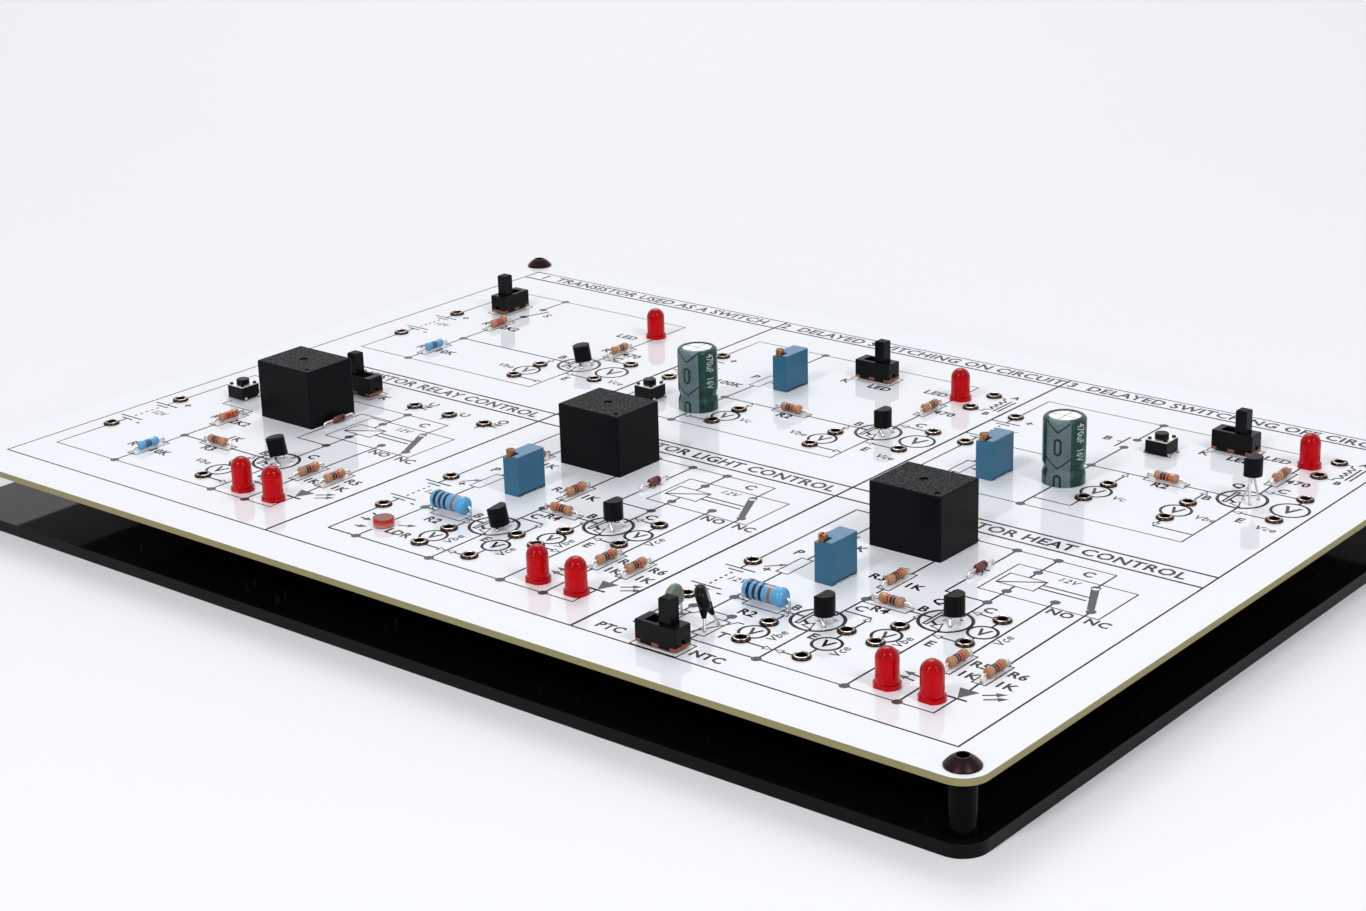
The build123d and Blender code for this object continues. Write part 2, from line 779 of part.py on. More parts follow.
# Transistors: half round cases on three legs, flat side towards -X before they are turned
case_radius = 2.35
case_flat = 1.35
case_height = 4.65
case_bevel = (0.3, 0.75)
leg_step = 1.27
leg_bend = 0.3
foot_rise = 0.35
outer_foot = (0.9, 2.15)
middle_foot = (-1.9, 0.0)

# Middle of the three holes, then the case: its place, turn, height, and its lean towards a direction
transistor_layout = [
    (75.6, 137.0, 75.5, 136.8, 130, 1.7, 8, 220),
    (176.1, 138.0, 175.6, 137.6, 0, 2.2, 0, 0),
    (273.1, 147.5, 273.2, 147.6, 0, 6.6, 0, 0),
    (65.8, 33.8, 65.0, 33.5, 125, 2.3, 9, 220),
    (141.1, 33.0, 141.3, 32.6, 0, 1.1, 9, 220),
    (163.1, 48.2, 162.8, 48.0, 0, 2.5, 0, 0),
    (234.9, 32.5, 234.8, 32.0, 0, 2.2, 0, 0),
    (256.1, 48.0, 256.6, 47.9, 0, 2.2, 0, 0),
]

with BuildPart() as transistor:
    with BuildSketch():
        Circle(case_radius)
        with Locations((-case_flat, 0)):
            Rectangle(case_radius, 2 * case_radius, align=(Align.MAX, Align.CENTER), mode=Mode.SUBTRACT)
    extrude(amount=case_height)
    chamfer(transistor.faces().sort_by(Axis.Z)[-1].edges().filter_by(GeomType.LINE), *case_bevel,
            reference=transistor.faces().sort_by(Axis.X)[0])
    fillet(transistor.faces().sort_by(Axis.Z)[-1].edges().filter_by(GeomType.CIRCLE), 0.12)
transistor_places = [
    stand(x, y, towards, height, lean) * Location((0, 0, 0), (0, 0, turn - towards))
    for foot_x, foot_y, x, y, turn, height, lean, towards in transistor_layout
]
keep(copies(transistor, transistor_places), "transistors")
transistor_bases = [stand(foot_x, foot_y) for foot_x, foot_y, *case in transistor_layout]
transistor_feet = [(outer_foot[0], -outer_foot[1]), middle_foot, outer_foot]


# Axial parts lie along X before they are turned
def axial_body(length, radius, waist, end):
    # A coated body with a bulge over each end cap
    with BuildPart() as body:
        with BuildSketch():
            with BuildLine():
                half = length / 2
                Line((-half, 0), (-half, 0.4 * radius))
                RadiusArc((-half, 0.4 * radius), (-half + 0.6 * radius, radius), 0.6 * radius)
                Spline(
                    (-half + 0.6 * radius, radius),
                    (-half + end, (radius + waist) / 2),
                    (-half + 1.6 * end, waist),
                    tangents=((1, 0), (1, 0)),
                )
                Line((-half + 1.6 * end, waist), (0, waist))
                mirror(about=Plane.YZ)
                Line((-half, 0), (half, 0))
            make_face()
        revolve(axis=Axis.X)
    return body


carbon_length = 6.3
carbon_radius = 1.15
carbon_waist = 0.98
carbon_pitch = 10.16
axial_height = 1.3
carbon_places = [
    stand(x, y, turn, axial_height)
    for x, y, turn in [
        (29.0, 152.0, 90),
        (75.5, 152.0, 90),
        (146.5, 138.0, 0),
        (174.9, 160.0, 90),
        (250.9, 147.8, 0),
        (272.1, 164.8, 90),
        (28.5, 48.9, 90),
        (41.6, 33.8, 0),
        (76.8, 32.5, 90),
        (85.8, 32.7, 90),
        (117.0, 71.6, 90),
        (140.4, 60.1, 90),
        (146.5, 48.2, 0),
        (174.8, 31.6, 90),
        (183.5, 31.4, 90),
        (210.6, 71.0, 90),
        (233.8, 59.6, 90),
        (240.7, 48.2, 0),
        (268.5, 31.2, 90),
        (277.3, 31.5, 90),
    ]
]
keep(copies(axial_body(carbon_length, carbon_radius, carbon_waist, 1.2), carbon_places), "carbon_resistors")

metal_film_places = [stand(29.3, 124.9, 90, axial_height), stand(28.5, 21.9, 90, axial_height)]
keep(copies(axial_body(carbon_length, carbon_radius, carbon_waist, 1.2), metal_film_places), "metal_film_resistors")

power_length = 11.0
power_radius = 2.25
power_waist = 2.05
power_pitch = 12.7
power_height = 3.0
power_places = [stand(125.4, 32.8, 0, power_height), stand(219.1, 32.3, 0, power_height)]
keep(copies(axial_body(power_length, power_radius, power_waist, 1.6), power_places), "power_resistors")

diode_length = 3.9
diode_radius = 0.95
diode_pitch = 10.16
diode_height = 1.1
relay_side = relay_places[0].position.X + relay_length / 2 - layout_corner[0]
diode_places = [
    stand(relay_side + diode_radius + 0.4, 64.2, 90, diode_height),
    stand(152.15, 75.4, 90, diode_height),
    stand(245.5, 75.2, 90, diode_height),
]
keep(copies(axial_body(diode_length, diode_radius, diode_radius, 1.0), diode_places), "diodes")


def axial_leads(length, pitch, height):
    # The two bent leads of an axial part whose axis is at this height
    lead = wire([(length / 2, 0, 0), (pitch / 2, 0, 0), (pitch / 2, 0, lead_end - height)])
    return copies(lead, [Location((0, 0, 0)), Location((0, 0, 0), (0, 0, 180))])


# Discs: the light sensor lies flat, the two temperature sensors stand on edge
sensor_radius = 2.55
sensor_thickness = 2.0
sensor_rise = 0.2
sensor_pitch = 3.4
light_sensor_spot = (117.7, 18.2)
with BuildPart() as light_sensor:
    with BuildSketch():
        Circle(sensor_radius)
    extrude(amount=sensor_thickness)
    fillet(light_sensor.edges().filter_by(GeomType.CIRCLE), 0.3)
keep(copies(light_sensor, [stand(*light_sensor_spot, 90, sensor_rise)]), "light_sensor")


def thermistor(radius, thickness, center, coat_end, root, turn=0):
    # A coated disc on edge, turned from facing X; the y, z of coat_end and root say where its coated leads run
    with BuildPart() as disc:
        with BuildSketch(Plane.XZ):
            with BuildLine():
                half = thickness / 2
                Polyline((half, radius - half), (half, 0), (-half, 0), (-half, radius - half))
                ThreePointArc((-half, radius - half), (0, radius), (half, radius - half))
            make_face()
        revolve(axis=Axis.X)
    with BuildPart() as bead:
        with Locations(Location((0, 0, center), (0, 0, turn))):
            add(disc.part)
        for side in (-1, 1):
            low = Vector(0, side * coat_end[0], coat_end[1])
            along = Vector(0, side * root[0], root[1]) - low
            with Locations(Plane(low, z_dir=along).location):
                Cone(1.5 * lead_radius, 0.9 * half, along.length, align=(Align.CENTER, Align.CENTER, Align.MIN))
    return bead


def root_height(radius, thickness, center, root):
    # How high the coating over a lead meets its disc, this far from the disc's middle
    return center + thickness / 2 - sqrt(radius**2 - root**2)


ptc_radius = 2.7
ptc_thickness = 1.8
ptc_pitch = 4.6
ptc_center = 4.3
ptc_coat = 2.2
ntc_radius = 3.0
ntc_thickness = 2.6
ntc_pitch = 4.7
ntc_center = 6.3
ntc_coat = 2.2
ntc_lean = -20.0
ntc_turn = 35.0
ntc_root = 0.6
ptc_spot = (206.7, 16.7)
ntc_spot = (217.0, 16.35)
ptc_top = root_height(ptc_radius, ptc_thickness, ptc_center, ptc_pitch / 2)
ptc = thermistor(ptc_radius, ptc_thickness, ptc_center, (ptc_pitch / 2, ptc_coat), (ptc_pitch / 2, ptc_top))
keep(copies(ptc, [stand(*ptc_spot, 0, foot_rise)]), "ptc_thermistor")
# The second one is twisted on its leads, which lean in from their holes to its lower edge
ntc_top = root_height(ntc_radius, ntc_thickness, ntc_center, ntc_root)
ntc_coat_y = ntc_pitch / 2 + (ntc_root - ntc_pitch / 2) * ntc_coat / ntc_top
ntc = thermistor(ntc_radius, ntc_thickness, ntc_center, (ntc_coat_y, ntc_coat), (ntc_root, ntc_top), ntc_turn)
keep(copies(ntc, [stand(*ntc_spot, 0, foot_rise, ntc_lean)]), "ntc_thermistor")


# Rivet eyelets at every test and supply point
eyelet_bore = 1.1
eyelet_wall = 0.25
eyelet_fit = 0.05
eyelet_brim = 2.1
eyelet_height = 0.7
eyelet_foot = 1.75
eyelet_foot_height = 0.5
eyelet_points = [
    (10.2, 130.8), (10.2, 154.0), (85.6, 145.0), (85.8, 129.3), (64.6, 130.8), (64.9, 119.8),
    (101.8, 165.5), (101.3, 142.6), (182.5, 178.8), (182.5, 167.5), (185.6, 145.6), (185.8, 130.0),
    (165.2, 131.6), (165.3, 120.5), (134.1, 131.6), (133.8, 120.6),
    (196.5, 167.2), (196.3, 144.0), (278.5, 182.8), (278.6, 171.5), (283.2, 155.2), (283.3, 139.3),
    (262.0, 138.0), (262.3, 126.6), (240.8, 138.0), (240.5, 127.0),
    (5.2, 28.8), (5.2, 52.2), (56.2, 16.2), (56.2, 27.3), (61.5, 84.8), (74.3, 84.7), (86.8, 84.7),
    (107.8, 27.8), (107.7, 51.0), (131.7, 25.5), (132.2, 15.3), (147.5, 31.5), (147.5, 15.8),
    (155.0, 39.8), (155.3, 29.5), (170.5, 55.2), (170.7, 40.6),
    (201.5, 50.5), (201.5, 27.3), (225.2, 25.4), (225.6, 15.3), (241.0, 31.3), (241.2, 15.4),
    (248.6, 39.7), (249.3, 29.9), (264.2, 54.7), (264.3, 40.3),
]
eyelet_places = [stand(x, y) for x, y in eyelet_points]

with BuildPart() as eyelet:
    with BuildSketch(Plane.XZ):
        with BuildLine():
            barrel = eyelet_bore + eyelet_wall
            foot_line = -board_thickness
            foot_bottom = foot_line - eyelet_foot_height
            crown = ((eyelet_bore + eyelet_brim) / 2, eyelet_height)
            Line((eyelet_bore, foot_bottom), (eyelet_bore, 0.7 * eyelet_height))
            ThreePointArc((eyelet_bore, 0.7 * eyelet_height), crown, (eyelet_brim, 0))
            Polyline((eyelet_brim, 0), (barrel, 0), (barrel, foot_line), (eyelet_foot, foot_line))
            Line((eyelet_foot, foot_line), (eyelet_bore, foot_bottom))
        make_face()
    revolve(axis=Axis.Z)
keep(copies(eyelet, eyelet_places), "eyelets")


# Leads that carry the small parts, in the order of the parts above
def upright_lead(top):
    # A straight lead from this height down through the board
    return wire([(0, 0, top), (0, 0, lead_end)])


def transistor_lead(case, offset, hole, run):
    # A lead that leaves the case along its own lean for this run, then bends to its hole
    points = [case * Location((0, offset, 0)), case * Location((0, offset, -run))]
    points += [hole * Location((0, 0, foot_rise)), hole * Location((0, 0, lead_end))]
    return wire([tuple(point.position) for point in points], bend=leg_bend)


light_sensor_base = stand(*light_sensor_spot, 90)
ptc_base = stand(*ptc_spot, 90)
ntc_base = stand(*ntc_spot, 90)
lead_sets = [
    (upright_lead(0), each(capacitor_places, capacitor_lead_spots) + each(led_places, led_lead_spots)),
    (axial_leads(carbon_length, carbon_pitch, axial_height), carbon_places + metal_film_places),
    (axial_leads(power_length, power_pitch, power_height), power_places),
    (axial_leads(diode_length, diode_pitch, diode_height), diode_places),
    (upright_lead(sensor_rise), each([light_sensor_base], two_ends(sensor_pitch))),
    (upright_lead(foot_rise + ptc_coat), each([ptc_base], two_ends(ptc_pitch))),
]
for base, case, (*spot, turn, height, lean, towards) in zip(transistor_bases, transistor_places, transistor_layout):
    step = copysign(leg_step, cos(radians(turn)))
    for offset, hole in zip((-step, 0, step), each([base], transistor_feet)):
        lead_sets.append((transistor_lead(case, offset, hole, 0.25 + 0.15 * height), [Location()]))
for side in (-1, 1):
    tilt = radians(ntc_lean)
    coat_end = (ntc_coat * sin(tilt), side * ntc_coat_y, foot_rise + ntc_coat * cos(tilt))
    hole_y = side * ntc_pitch / 2
    lead_sets.append((wire([coat_end, (0, hole_y, foot_rise), (0, hole_y, lead_end)]), [stand(*ntc_spot)]))
keep(gather(lead_sets), "component_leads")


# Circuit board, drilled for everything that goes through it
lead_holes = (
    each(capacitor_places, capacitor_lead_spots)
    + each(led_places, led_lead_spots)
    + each(carbon_places + metal_film_places, two_ends(carbon_pitch))
    + each(power_places, two_ends(power_pitch))
    + each(diode_places, two_ends(diode_pitch))
    + each([light_sensor_base], two_ends(sensor_pitch))
    + each([ptc_base], two_ends(ptc_pitch))
    + each([ntc_base], two_ends(ntc_pitch))
    + each(transistor_bases, transistor_feet)
    + each(trimmer_places, trimmer_pin_spots)
)
drill_plan = [
    (screw_radius + screw_hole_gap, [Location((x, y, 0)) for x, y in corners]),
    (eyelet_bore + eyelet_wall + eyelet_fit, eyelet_places),
    (relay_pin_radius + lead_gap, each(relay_places, relay_pin_spots)),
    (switch_pin_radius + lead_gap, each(switch_places, switch_pin_spots)),
    (leg_hole_radius, each(button_places, leg_spots)),
    (lead_radius + lead_gap, lead_holes),
]
with BuildPart() as circuit_board:
    with BuildSketch(Plane.XY.offset(board_bottom)):
        RectangleRounded(board_width, board_depth, corner_radius)
        for radius, holes in drill_plan:
            with Locations(*[(hole.position.X, hole.position.Y) for hole in holes]):
                Circle(radius, mode=Mode.SUBTRACT)
    extrude(amount=board_thickness)
keep(circuit_board, "circuit_board")
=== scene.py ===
import json
import math
import bpy
from mathutils import Matrix, Quaternion, Vector


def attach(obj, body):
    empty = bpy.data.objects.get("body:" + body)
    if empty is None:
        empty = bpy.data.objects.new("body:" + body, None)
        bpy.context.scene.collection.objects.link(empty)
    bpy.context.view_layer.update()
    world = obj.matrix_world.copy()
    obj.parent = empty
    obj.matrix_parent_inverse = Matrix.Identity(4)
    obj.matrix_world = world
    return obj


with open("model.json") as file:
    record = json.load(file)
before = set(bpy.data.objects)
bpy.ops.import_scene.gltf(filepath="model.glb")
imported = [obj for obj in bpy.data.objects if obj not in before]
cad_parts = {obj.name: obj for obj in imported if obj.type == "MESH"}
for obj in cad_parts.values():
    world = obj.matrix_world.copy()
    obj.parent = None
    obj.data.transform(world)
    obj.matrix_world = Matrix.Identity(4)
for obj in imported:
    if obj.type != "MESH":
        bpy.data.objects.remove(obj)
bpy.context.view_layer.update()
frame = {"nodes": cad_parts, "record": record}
nodes = frame["nodes"]
mm = 0.001

board = {
    "body": "board_assembly",
    "corner": (-144.25, -101.0),   # lower left corner of the printed frame, in mm
    "top": 16.6,
    "underside": 15.0,
}


def onBoard(x, y, height=0.0):
    # A place in metres from millimetres on the printed board
    return Vector((board["corner"][0] + x, board["corner"][1] + y, board["top"] + height)) * mm


def pickNone():
    bpy.ops.object.select_all(action="DESELECT")


def pickOnly(piece):
    pickNone()
    piece.select_set(True)
    bpy.context.view_layer.objects.active = piece


def pickAll(pieces):
    pickNone()
    for piece in pieces:
        piece.select_set(True)
    bpy.context.view_layer.objects.active = pieces[0]


def toMesh(pieces):
    pickAll(pieces)
    bpy.ops.object.convert(target="MESH")
    return bpy.context.view_layer.objects.active


def joinPieces(pieces, name):
    # One piece made of several, each with its own mesh
    pickAll(pieces)
    bpy.ops.object.join()
    joined = bpy.context.view_layer.objects.active
    joined.name = name
    joined.data.name = name
    return joined


def settle(piece):
    # The object ends at the origin, unturned, with its place in its mesh
    pickOnly(piece)
    bpy.ops.object.transform_apply(location=True, rotation=True, scale=True)
    return piece


def copyTo(master, places):
    # A copy with its own mesh at each place, given as matrices
    made = []
    for place in places:
        copy = master.copy()
        copy.data = master.data.copy()
        copy.data.transform(place)
        bpy.context.scene.collection.objects.link(copy)
        made.append(copy)
    return made


def finishPiece(piece, material):
    piece.data.materials.clear()
    piece.data.materials.append(material)
    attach(piece, board["body"])
    return piece


def turned(place, degrees=0.0):
    return Matrix.Translation(place) @ Matrix.Rotation(math.radians(degrees), 4, "Z")


# Small helpers that add nodes to a tree
def feed(tree, socket, value):
    # Numbers and colours are typed in, sockets are linked
    if isinstance(value, (tuple, int, float)):
        socket.default_value = value
    else:
        tree.links.new(value, socket)


def linkAll(tree, target, **values):
    for label, value in values.items():
        tree.links.new(value, target.inputs[label.replace("_", " ")])


def calc(tree, operation, *values):
    node = tree.nodes.new("ShaderNodeMath")
    node.operation = operation
    for socket, value in zip(node.inputs, values):
        feed(tree, socket, value)
    return node.outputs[0]


def mathNode(operation):
    def place(tree, *values):
        return calc(tree, operation, *values)

    return place


times, plus, minus = mathNode("MULTIPLY"), mathNode("ADD"), mathNode("SUBTRACT")
isOver, isUnder, sizeOf = mathNode("GREATER_THAN"), mathNode("LESS_THAN"), mathNode("ABSOLUTE")


def diagonal(tree, first, second):
    return calc(tree, "SQRT", plus(tree, times(tree, first, first), times(tree, second, second)))


def clamped(tree, value):
    node = tree.nodes.new("ShaderNodeClamp")
    tree.links.new(value, node.inputs[0])
    return node.outputs[0]


def ramp(tree, value, low, high):
    # From 0 to 1 while the value goes from low to high
    node = tree.nodes.new("ShaderNodeMapRange")
    node.inputs["From Min"].default_value = low
    node.inputs["From Max"].default_value = high
    tree.links.new(value, node.inputs["Value"])
    return node.outputs[0]


def blendColours(tree, mask, low, high):
    node = tree.nodes.new("ShaderNodeMix")
    node.data_type = "RGBA"
    for place, value in ((0, mask), (6, low), (7, high)):
        feed(tree, node.inputs[place], value)
    return node.outputs[2]


def bumpFrom(tree, height, strength, distance):
    bump = tree.nodes.new("ShaderNodeBump")
    bump.inputs["Distance"].default_value = distance
    feed(tree, bump.inputs["Strength"], strength)
    tree.links.new(height, bump.inputs["Height"])
    return bump


def placeNoise(tree, scale, detail=3.0, stretch=(1.0, 1.0, 1.0)):
    where = tree.nodes.new("ShaderNodeTexCoord")
    turn = tree.nodes.new("ShaderNodeMapping")
    turn.inputs["Scale"].default_value = stretch
    noise = tree.nodes.new("ShaderNodeTexNoise")
    noise.inputs["Detail"].default_value = detail
    tree.links.new(where.outputs["Object"], turn.inputs["Vector"])
    tree.links.new(turn.outputs[0], noise.inputs["Vector"])
    feed(tree, noise.inputs["Scale"], scale)
    return noise.outputs["Fac"]


def objectPlace(tree, x=0.0, y=0.0, z=0.0):
    # Object coordinates counted from a place in millimetres, given out in millimetres
    where = tree.nodes.new("ShaderNodeTexCoord")
    shift = tree.nodes.new("ShaderNodeMapping")
    shift.inputs["Scale"].default_value = (1000.0, 1000.0, 1000.0)
    shift.inputs["Location"].default_value = (-x, -y, -z)
    parts = tree.nodes.new("ShaderNodeSeparateXYZ")
    tree.links.new(where.outputs["Object"], shift.inputs["Vector"])
    tree.links.new(shift.outputs[0], parts.inputs[0])
    return parts.outputs[0], parts.outputs[1], parts.outputs[2]


def facing(tree):
    # The way that the surface faces, as its X, Y and Z parts
    way = tree.nodes.new("ShaderNodeNewGeometry")
    parts = tree.nodes.new("ShaderNodeSeparateXYZ")
    tree.links.new(way.outputs["Normal"], parts.inputs[0])
    return parts.outputs[0], parts.outputs[1], parts.outputs[2]


# Node groups shared by the materials
surfaceKinds = {"Colour": "Color", "Roughness": "Float", "Normal": "Vector"}


def newGroup(name, inputs, outputs):
    # Inputs come with their first values, outputs with their kinds
    group = bpy.data.node_groups.new(name, "ShaderNodeTree")
    for label, value in inputs.items():
        kind = "NodeSocketColor" if isinstance(value, tuple) else "NodeSocketFloat"
        socket = group.interface.new_socket(name=label, in_out="INPUT", socket_type=kind)
        socket.default_value = value
    for label, kind in outputs.items():
        group.interface.new_socket(name=label, in_out="OUTPUT", socket_type="NodeSocket" + kind)
    entry = group.nodes.new("NodeGroupInput")
    return group, entry.outputs, group.nodes.new("NodeGroupOutput")


def makeMouldedSkin():
    # Fine grain of moulded, coated or plated parts: colour drift, roughness drift and a faint bump
    look = {"driftScale": 180.0, "grainDetail": 4.0, "middle": 0.5, "depth": 0.00005}
    group, given, leave = newGroup("mouldedSkin", {
        "Colour": (0.5, 0.5, 0.5, 1), "Drift Colour": (0.4, 0.4, 0.4, 1), "Drift": 0.3,
        "Grain Scale": 2500.0, "Roughness": 0.4, "Roughness Drift": 0.1, "Bump": 0.1,
    }, surfaceKinds)
    share = times(group, placeNoise(group, look["driftScale"]), given["Drift"])
    grain = placeNoise(group, given["Grain Scale"], look["grainDetail"])
    swing = times(group, minus(group, grain, look["middle"]), given["Roughness Drift"])
    linkAll(group, leave, Colour=blendColours(group, share, given["Colour"], given["Drift Colour"]),
            Roughness=plus(group, given["Roughness"], swing),
            Normal=bumpFrom(group, grain, given["Bump"], look["depth"]).outputs[0])
    return group


def makeDrawnMetal():
    # Drawn or turned metal: fine streaks along Z, and patches of tarnish
    look = {"streakDetail": 2.0, "stretch": (1.0, 1.0, 6.0), "tarnishScale": 350.0, "tarnishDetail": 5.0,
            "bump": 0.15, "depth": 0.00002}
    group, given, leave = newGroup("drawnMetal", {
        "Colour": (0.7, 0.7, 0.7, 1), "Dull Colour": (0.4, 0.4, 0.4, 1), "Dulling": 0.4,
        "Streaks": 900.0, "Roughness": 0.2, "Roughness Drift": 0.15,
    }, surfaceKinds)
    streaks = placeNoise(group, given["Streaks"], look["streakDetail"], look["stretch"])
    share = times(group, placeNoise(group, look["tarnishScale"], look["tarnishDetail"]), given["Dulling"])
    swing = times(group, streaks, given["Roughness Drift"])
    linkAll(group, leave, Colour=blendColours(group, share, given["Colour"], given["Dull Colour"]),
            Roughness=plus(group, given["Roughness"], swing),
            Normal=bumpFrom(group, streaks, look["bump"], look["depth"]).outputs[0])
    return group


def makeDustSpecks():
    # Sparse specks of dust that lie on upward faces
    look = {"cut": 0.86, "amountShare": 0.1, "sharpness": 14.0, "flat": 0.7}
    group, given, leave = newGroup("dustSpecks", {"Scale": 900.0, "Amount": 0.5}, {"Mask": "Float"})
    specks = placeNoise(group, given["Scale"], 1.0)
    cut = minus(group, look["cut"], times(group, given["Amount"], look["amountShare"]))
    sharp = times(group, minus(group, specks, cut), look["sharpness"])
    lying = isOver(group, facing(group)[2], look["flat"])
    linkAll(group, leave, Mask=clamped(group, times(group, sharp, lying)))
    return group


mouldedSkin = makeMouldedSkin()
drawnMetal = makeDrawnMetal()
dustSpecks = makeDustSpecks()
print("node groups ready")


def blankMaterial(name, **values):
    # A Principled shader with its own plain values
    material = bpy.data.materials.new(name)
    material.use_nodes = True
    tree = material.node_tree
    shader = tree.nodes["Principled BSDF"]
    for socket, value in values.items():
        shader.inputs[socket.replace("_", " ")].default_value = value
    return material, tree, shader


def useGroup(tree, group, **values):
    node = tree.nodes.new("ShaderNodeGroup")
    node.node_tree = group
    for socket, value in values.items():
        node.inputs[socket.replace("_", " ")].default_value = value
    return node


def dress(tree, shader, skin, **own):
    # What the material doesn't work out by itself comes from its group
    for label, socket in (("Colour", "Base Color"), ("Roughness", "Roughness"), ("Normal", "Normal")):
        tree.links.new(own.get(label, skin.outputs[label]), shader.inputs[socket])


plainLook = {"deepen": 0.7, "drift": 0.5, "roughnessDrift": 0.15, "metalRoughnessDrift": 0.12}


def mouldedMaterial(name, colour, drift=None, roughness=0.4, grain=2500.0, bump=0.1, **values):
    material, tree, shader = blankMaterial(name, **values)
    second = drift or tuple(plainLook["deepen"] * part for part in colour)
    dress(tree, shader, useGroup(
        tree, mouldedSkin, Colour=(*colour, 1), Drift_Colour=(*second, 1), Drift=plainLook["drift"],
        Grain_Scale=grain, Roughness=roughness, Roughness_Drift=plainLook["roughnessDrift"], Bump=bump))
    return material


def metalMaterial(name, colour, dull, roughness=0.2, streaks=900.0, dulling=0.5):
    material, tree, shader = blankMaterial(name, Metallic=1.0)
    dress(tree, shader, useGroup(
        tree, drawnMetal, Colour=(*colour, 1), Dull_Colour=(*dull, 1), Dulling=dulling, Streaks=streaks,
        Roughness=roughness, Roughness_Drift=plainLook["metalRoughnessDrift"]))
    return material


def boardMaterial():
    # Glossy white mask on top, an underside painted near black as painted shade, bare olive laminate with its
    # layers at the edges
    look = {
        "white": (0.84, 0.862, 0.905, 1),
        "drift": (0.82, 0.842, 0.885, 1),
        "laminate": (0.225, 0.200, 0.078, 1),
        "layer": (0.36, 0.325, 0.15, 1),
        # the underside colour is painted shade, near black under the board
        "underside": (0.012, 0.013, 0.012, 1),
        "dust": (0.55, 0.55, 0.58, 1),
        "dustShare": 0.25,
        "layers": 26.0,            # radians of the layers' wave per mm of height
        "mottle": 420.0,
        "layerShare": 0.4,
        "steep": 0.6,              # faces that point up or down less than this are the edge
        "edgeRoughness": 0.6,
    }
    material, tree, shader = blankMaterial("boardWhite", IOR=1.52)
    skin = useGroup(tree, mouldedSkin, Colour=look["white"], Drift_Colour=look["drift"], Drift=0.6,
                    Grain_Scale=1200.0, Roughness=0.045, Roughness_Drift=0.03, Bump=0.012)
    layers = calc(tree, "SINE", times(tree, objectPlace(tree)[2], look["layers"]))
    share = times(tree, plus(tree, layers, placeNoise(tree, look["mottle"], 4.0)), look["layerShare"])
    edge = blendColours(tree, share, look["laminate"], look["layer"])
    up = facing(tree)[2]
    upright = isUnder(tree, sizeOf(tree, up), look["steep"])
    dust = useGroup(tree, dustSpecks, Scale=520.0, Amount=0.2)
    dusty = blendColours(tree, times(tree, dust.outputs["Mask"], look["dustShare"]),
                         skin.outputs["Colour"], look["dust"])
    # faces that point down take the painted shade colour of the underside
    faces = blendColours(tree, isUnder(tree, up, -look["steep"]), dusty, look["underside"])
    dress(tree, shader, skin, Colour=blendColours(tree, upright, faces, edge),
          Roughness=plus(tree, skin.outputs["Roughness"], times(tree, upright, look["edgeRoughness"])))
    return material


def acrylicMaterial():
    # Black acrylic sheet: deep gloss with faint hairlines and dust
    look = {
        "black": (0.003, 0.0026, 0.0026, 1), "drift": (0.005, 0.004, 0.004, 1),
        "dust": (0.30, 0.30, 0.31, 1), "dustShare": 0.35,
        "hairs": 260.0, "hairStretch": (1.0, 14.0, 1.0), "hairCut": 0.70, "hairRoughness": 0.10,
        "steep": 0.6, "sawnRoughness": 0.18,
    }
    material, tree, shader = blankMaterial("blackAcrylic", IOR=1.49, Specular_IOR_Level=0.12)
    skin = useGroup(tree, mouldedSkin, Colour=look["black"], Drift_Colour=look["drift"], Drift=0.5,
                    Grain_Scale=700.0, Roughness=0.05, Roughness_Drift=0.04, Bump=0.01)
    dust = useGroup(tree, dustSpecks, Scale=700.0, Amount=0.6)
    dustAndGlintSpeck = blendColours(tree, times(tree, dust.outputs["Mask"], look["dustShare"]),
                         skin.outputs["Colour"], look["dust"])
    hairs = placeNoise(tree, look["hairs"], 2.0, look["hairStretch"])
    scratch = times(tree, isOver(tree, hairs, look["hairCut"]), look["hairRoughness"])
    sawn = isUnder(tree, sizeOf(tree, facing(tree)[2]), look["steep"])
    rough = plus(tree, plus(tree, skin.outputs["Roughness"], scratch),
                 times(tree, sawn, look["sawnRoughness"]))
    dress(tree, shader, skin, Colour=dustAndGlintSpeck, Roughness=rough)
    return material


def relayMaterial():
    # Semi gloss case whose top is spark eroded, with lighter specks painted on the top as glints
    look = {
        "black": (0.0030, 0.0035, 0.0044, 1), "drift": (0.0046, 0.0053, 0.0066, 1),
        # the speck colour is a painted glint on the top
        "dustAndGlintSpeck": (0.046, 0.044, 0.046, 1), "glintSpeckCut": 0.56,
        "worms": 1500.0, "fine": 4200.0, "fineShare": 0.5, "depth": 0.00045,
        "flat": 0.9, "roofRoughness": 0.2,
    }
    material, tree, shader = blankMaterial("relayBlack", Specular_IOR_Level=0.06)
    skin = useGroup(tree, mouldedSkin, Colour=look["black"], Drift_Colour=look["drift"], Drift=0.6,
                    Grain_Scale=900.0, Roughness=0.30, Roughness_Drift=0.12, Bump=0.05)
    roof = isOver(tree, facing(tree)[2], look["flat"])
    worms = placeNoise(tree, look["worms"], 2.0)
    fine = placeNoise(tree, look["fine"], 1.0)
    pits = times(tree, plus(tree, worms, times(tree, fine, look["fineShare"])), roof)
    # lighter specks on the top are painted glints
    dustAndGlintSpeck = times(tree, isOver(tree, worms, look["glintSpeckCut"]), roof)
    bump = bumpFrom(tree, pits, 1.0, look["depth"])
    tree.links.new(skin.outputs["Normal"], bump.inputs["Normal"])
    dress(tree, shader, skin, Colour=blendColours(tree, dustAndGlintSpeck, skin.outputs["Colour"], look["dustAndGlintSpeck"]),
          Roughness=plus(tree, skin.outputs["Roughness"], times(tree, roof, look["roofRoughness"])),
          Normal=bump.outputs[0])
    return material


capacitors = {
    "places": [(123.9, 127.4), (230.5, 134.5)],    # on the printed board, in mm
    "split": 30.0,                                 # an X between the two, in mm
}


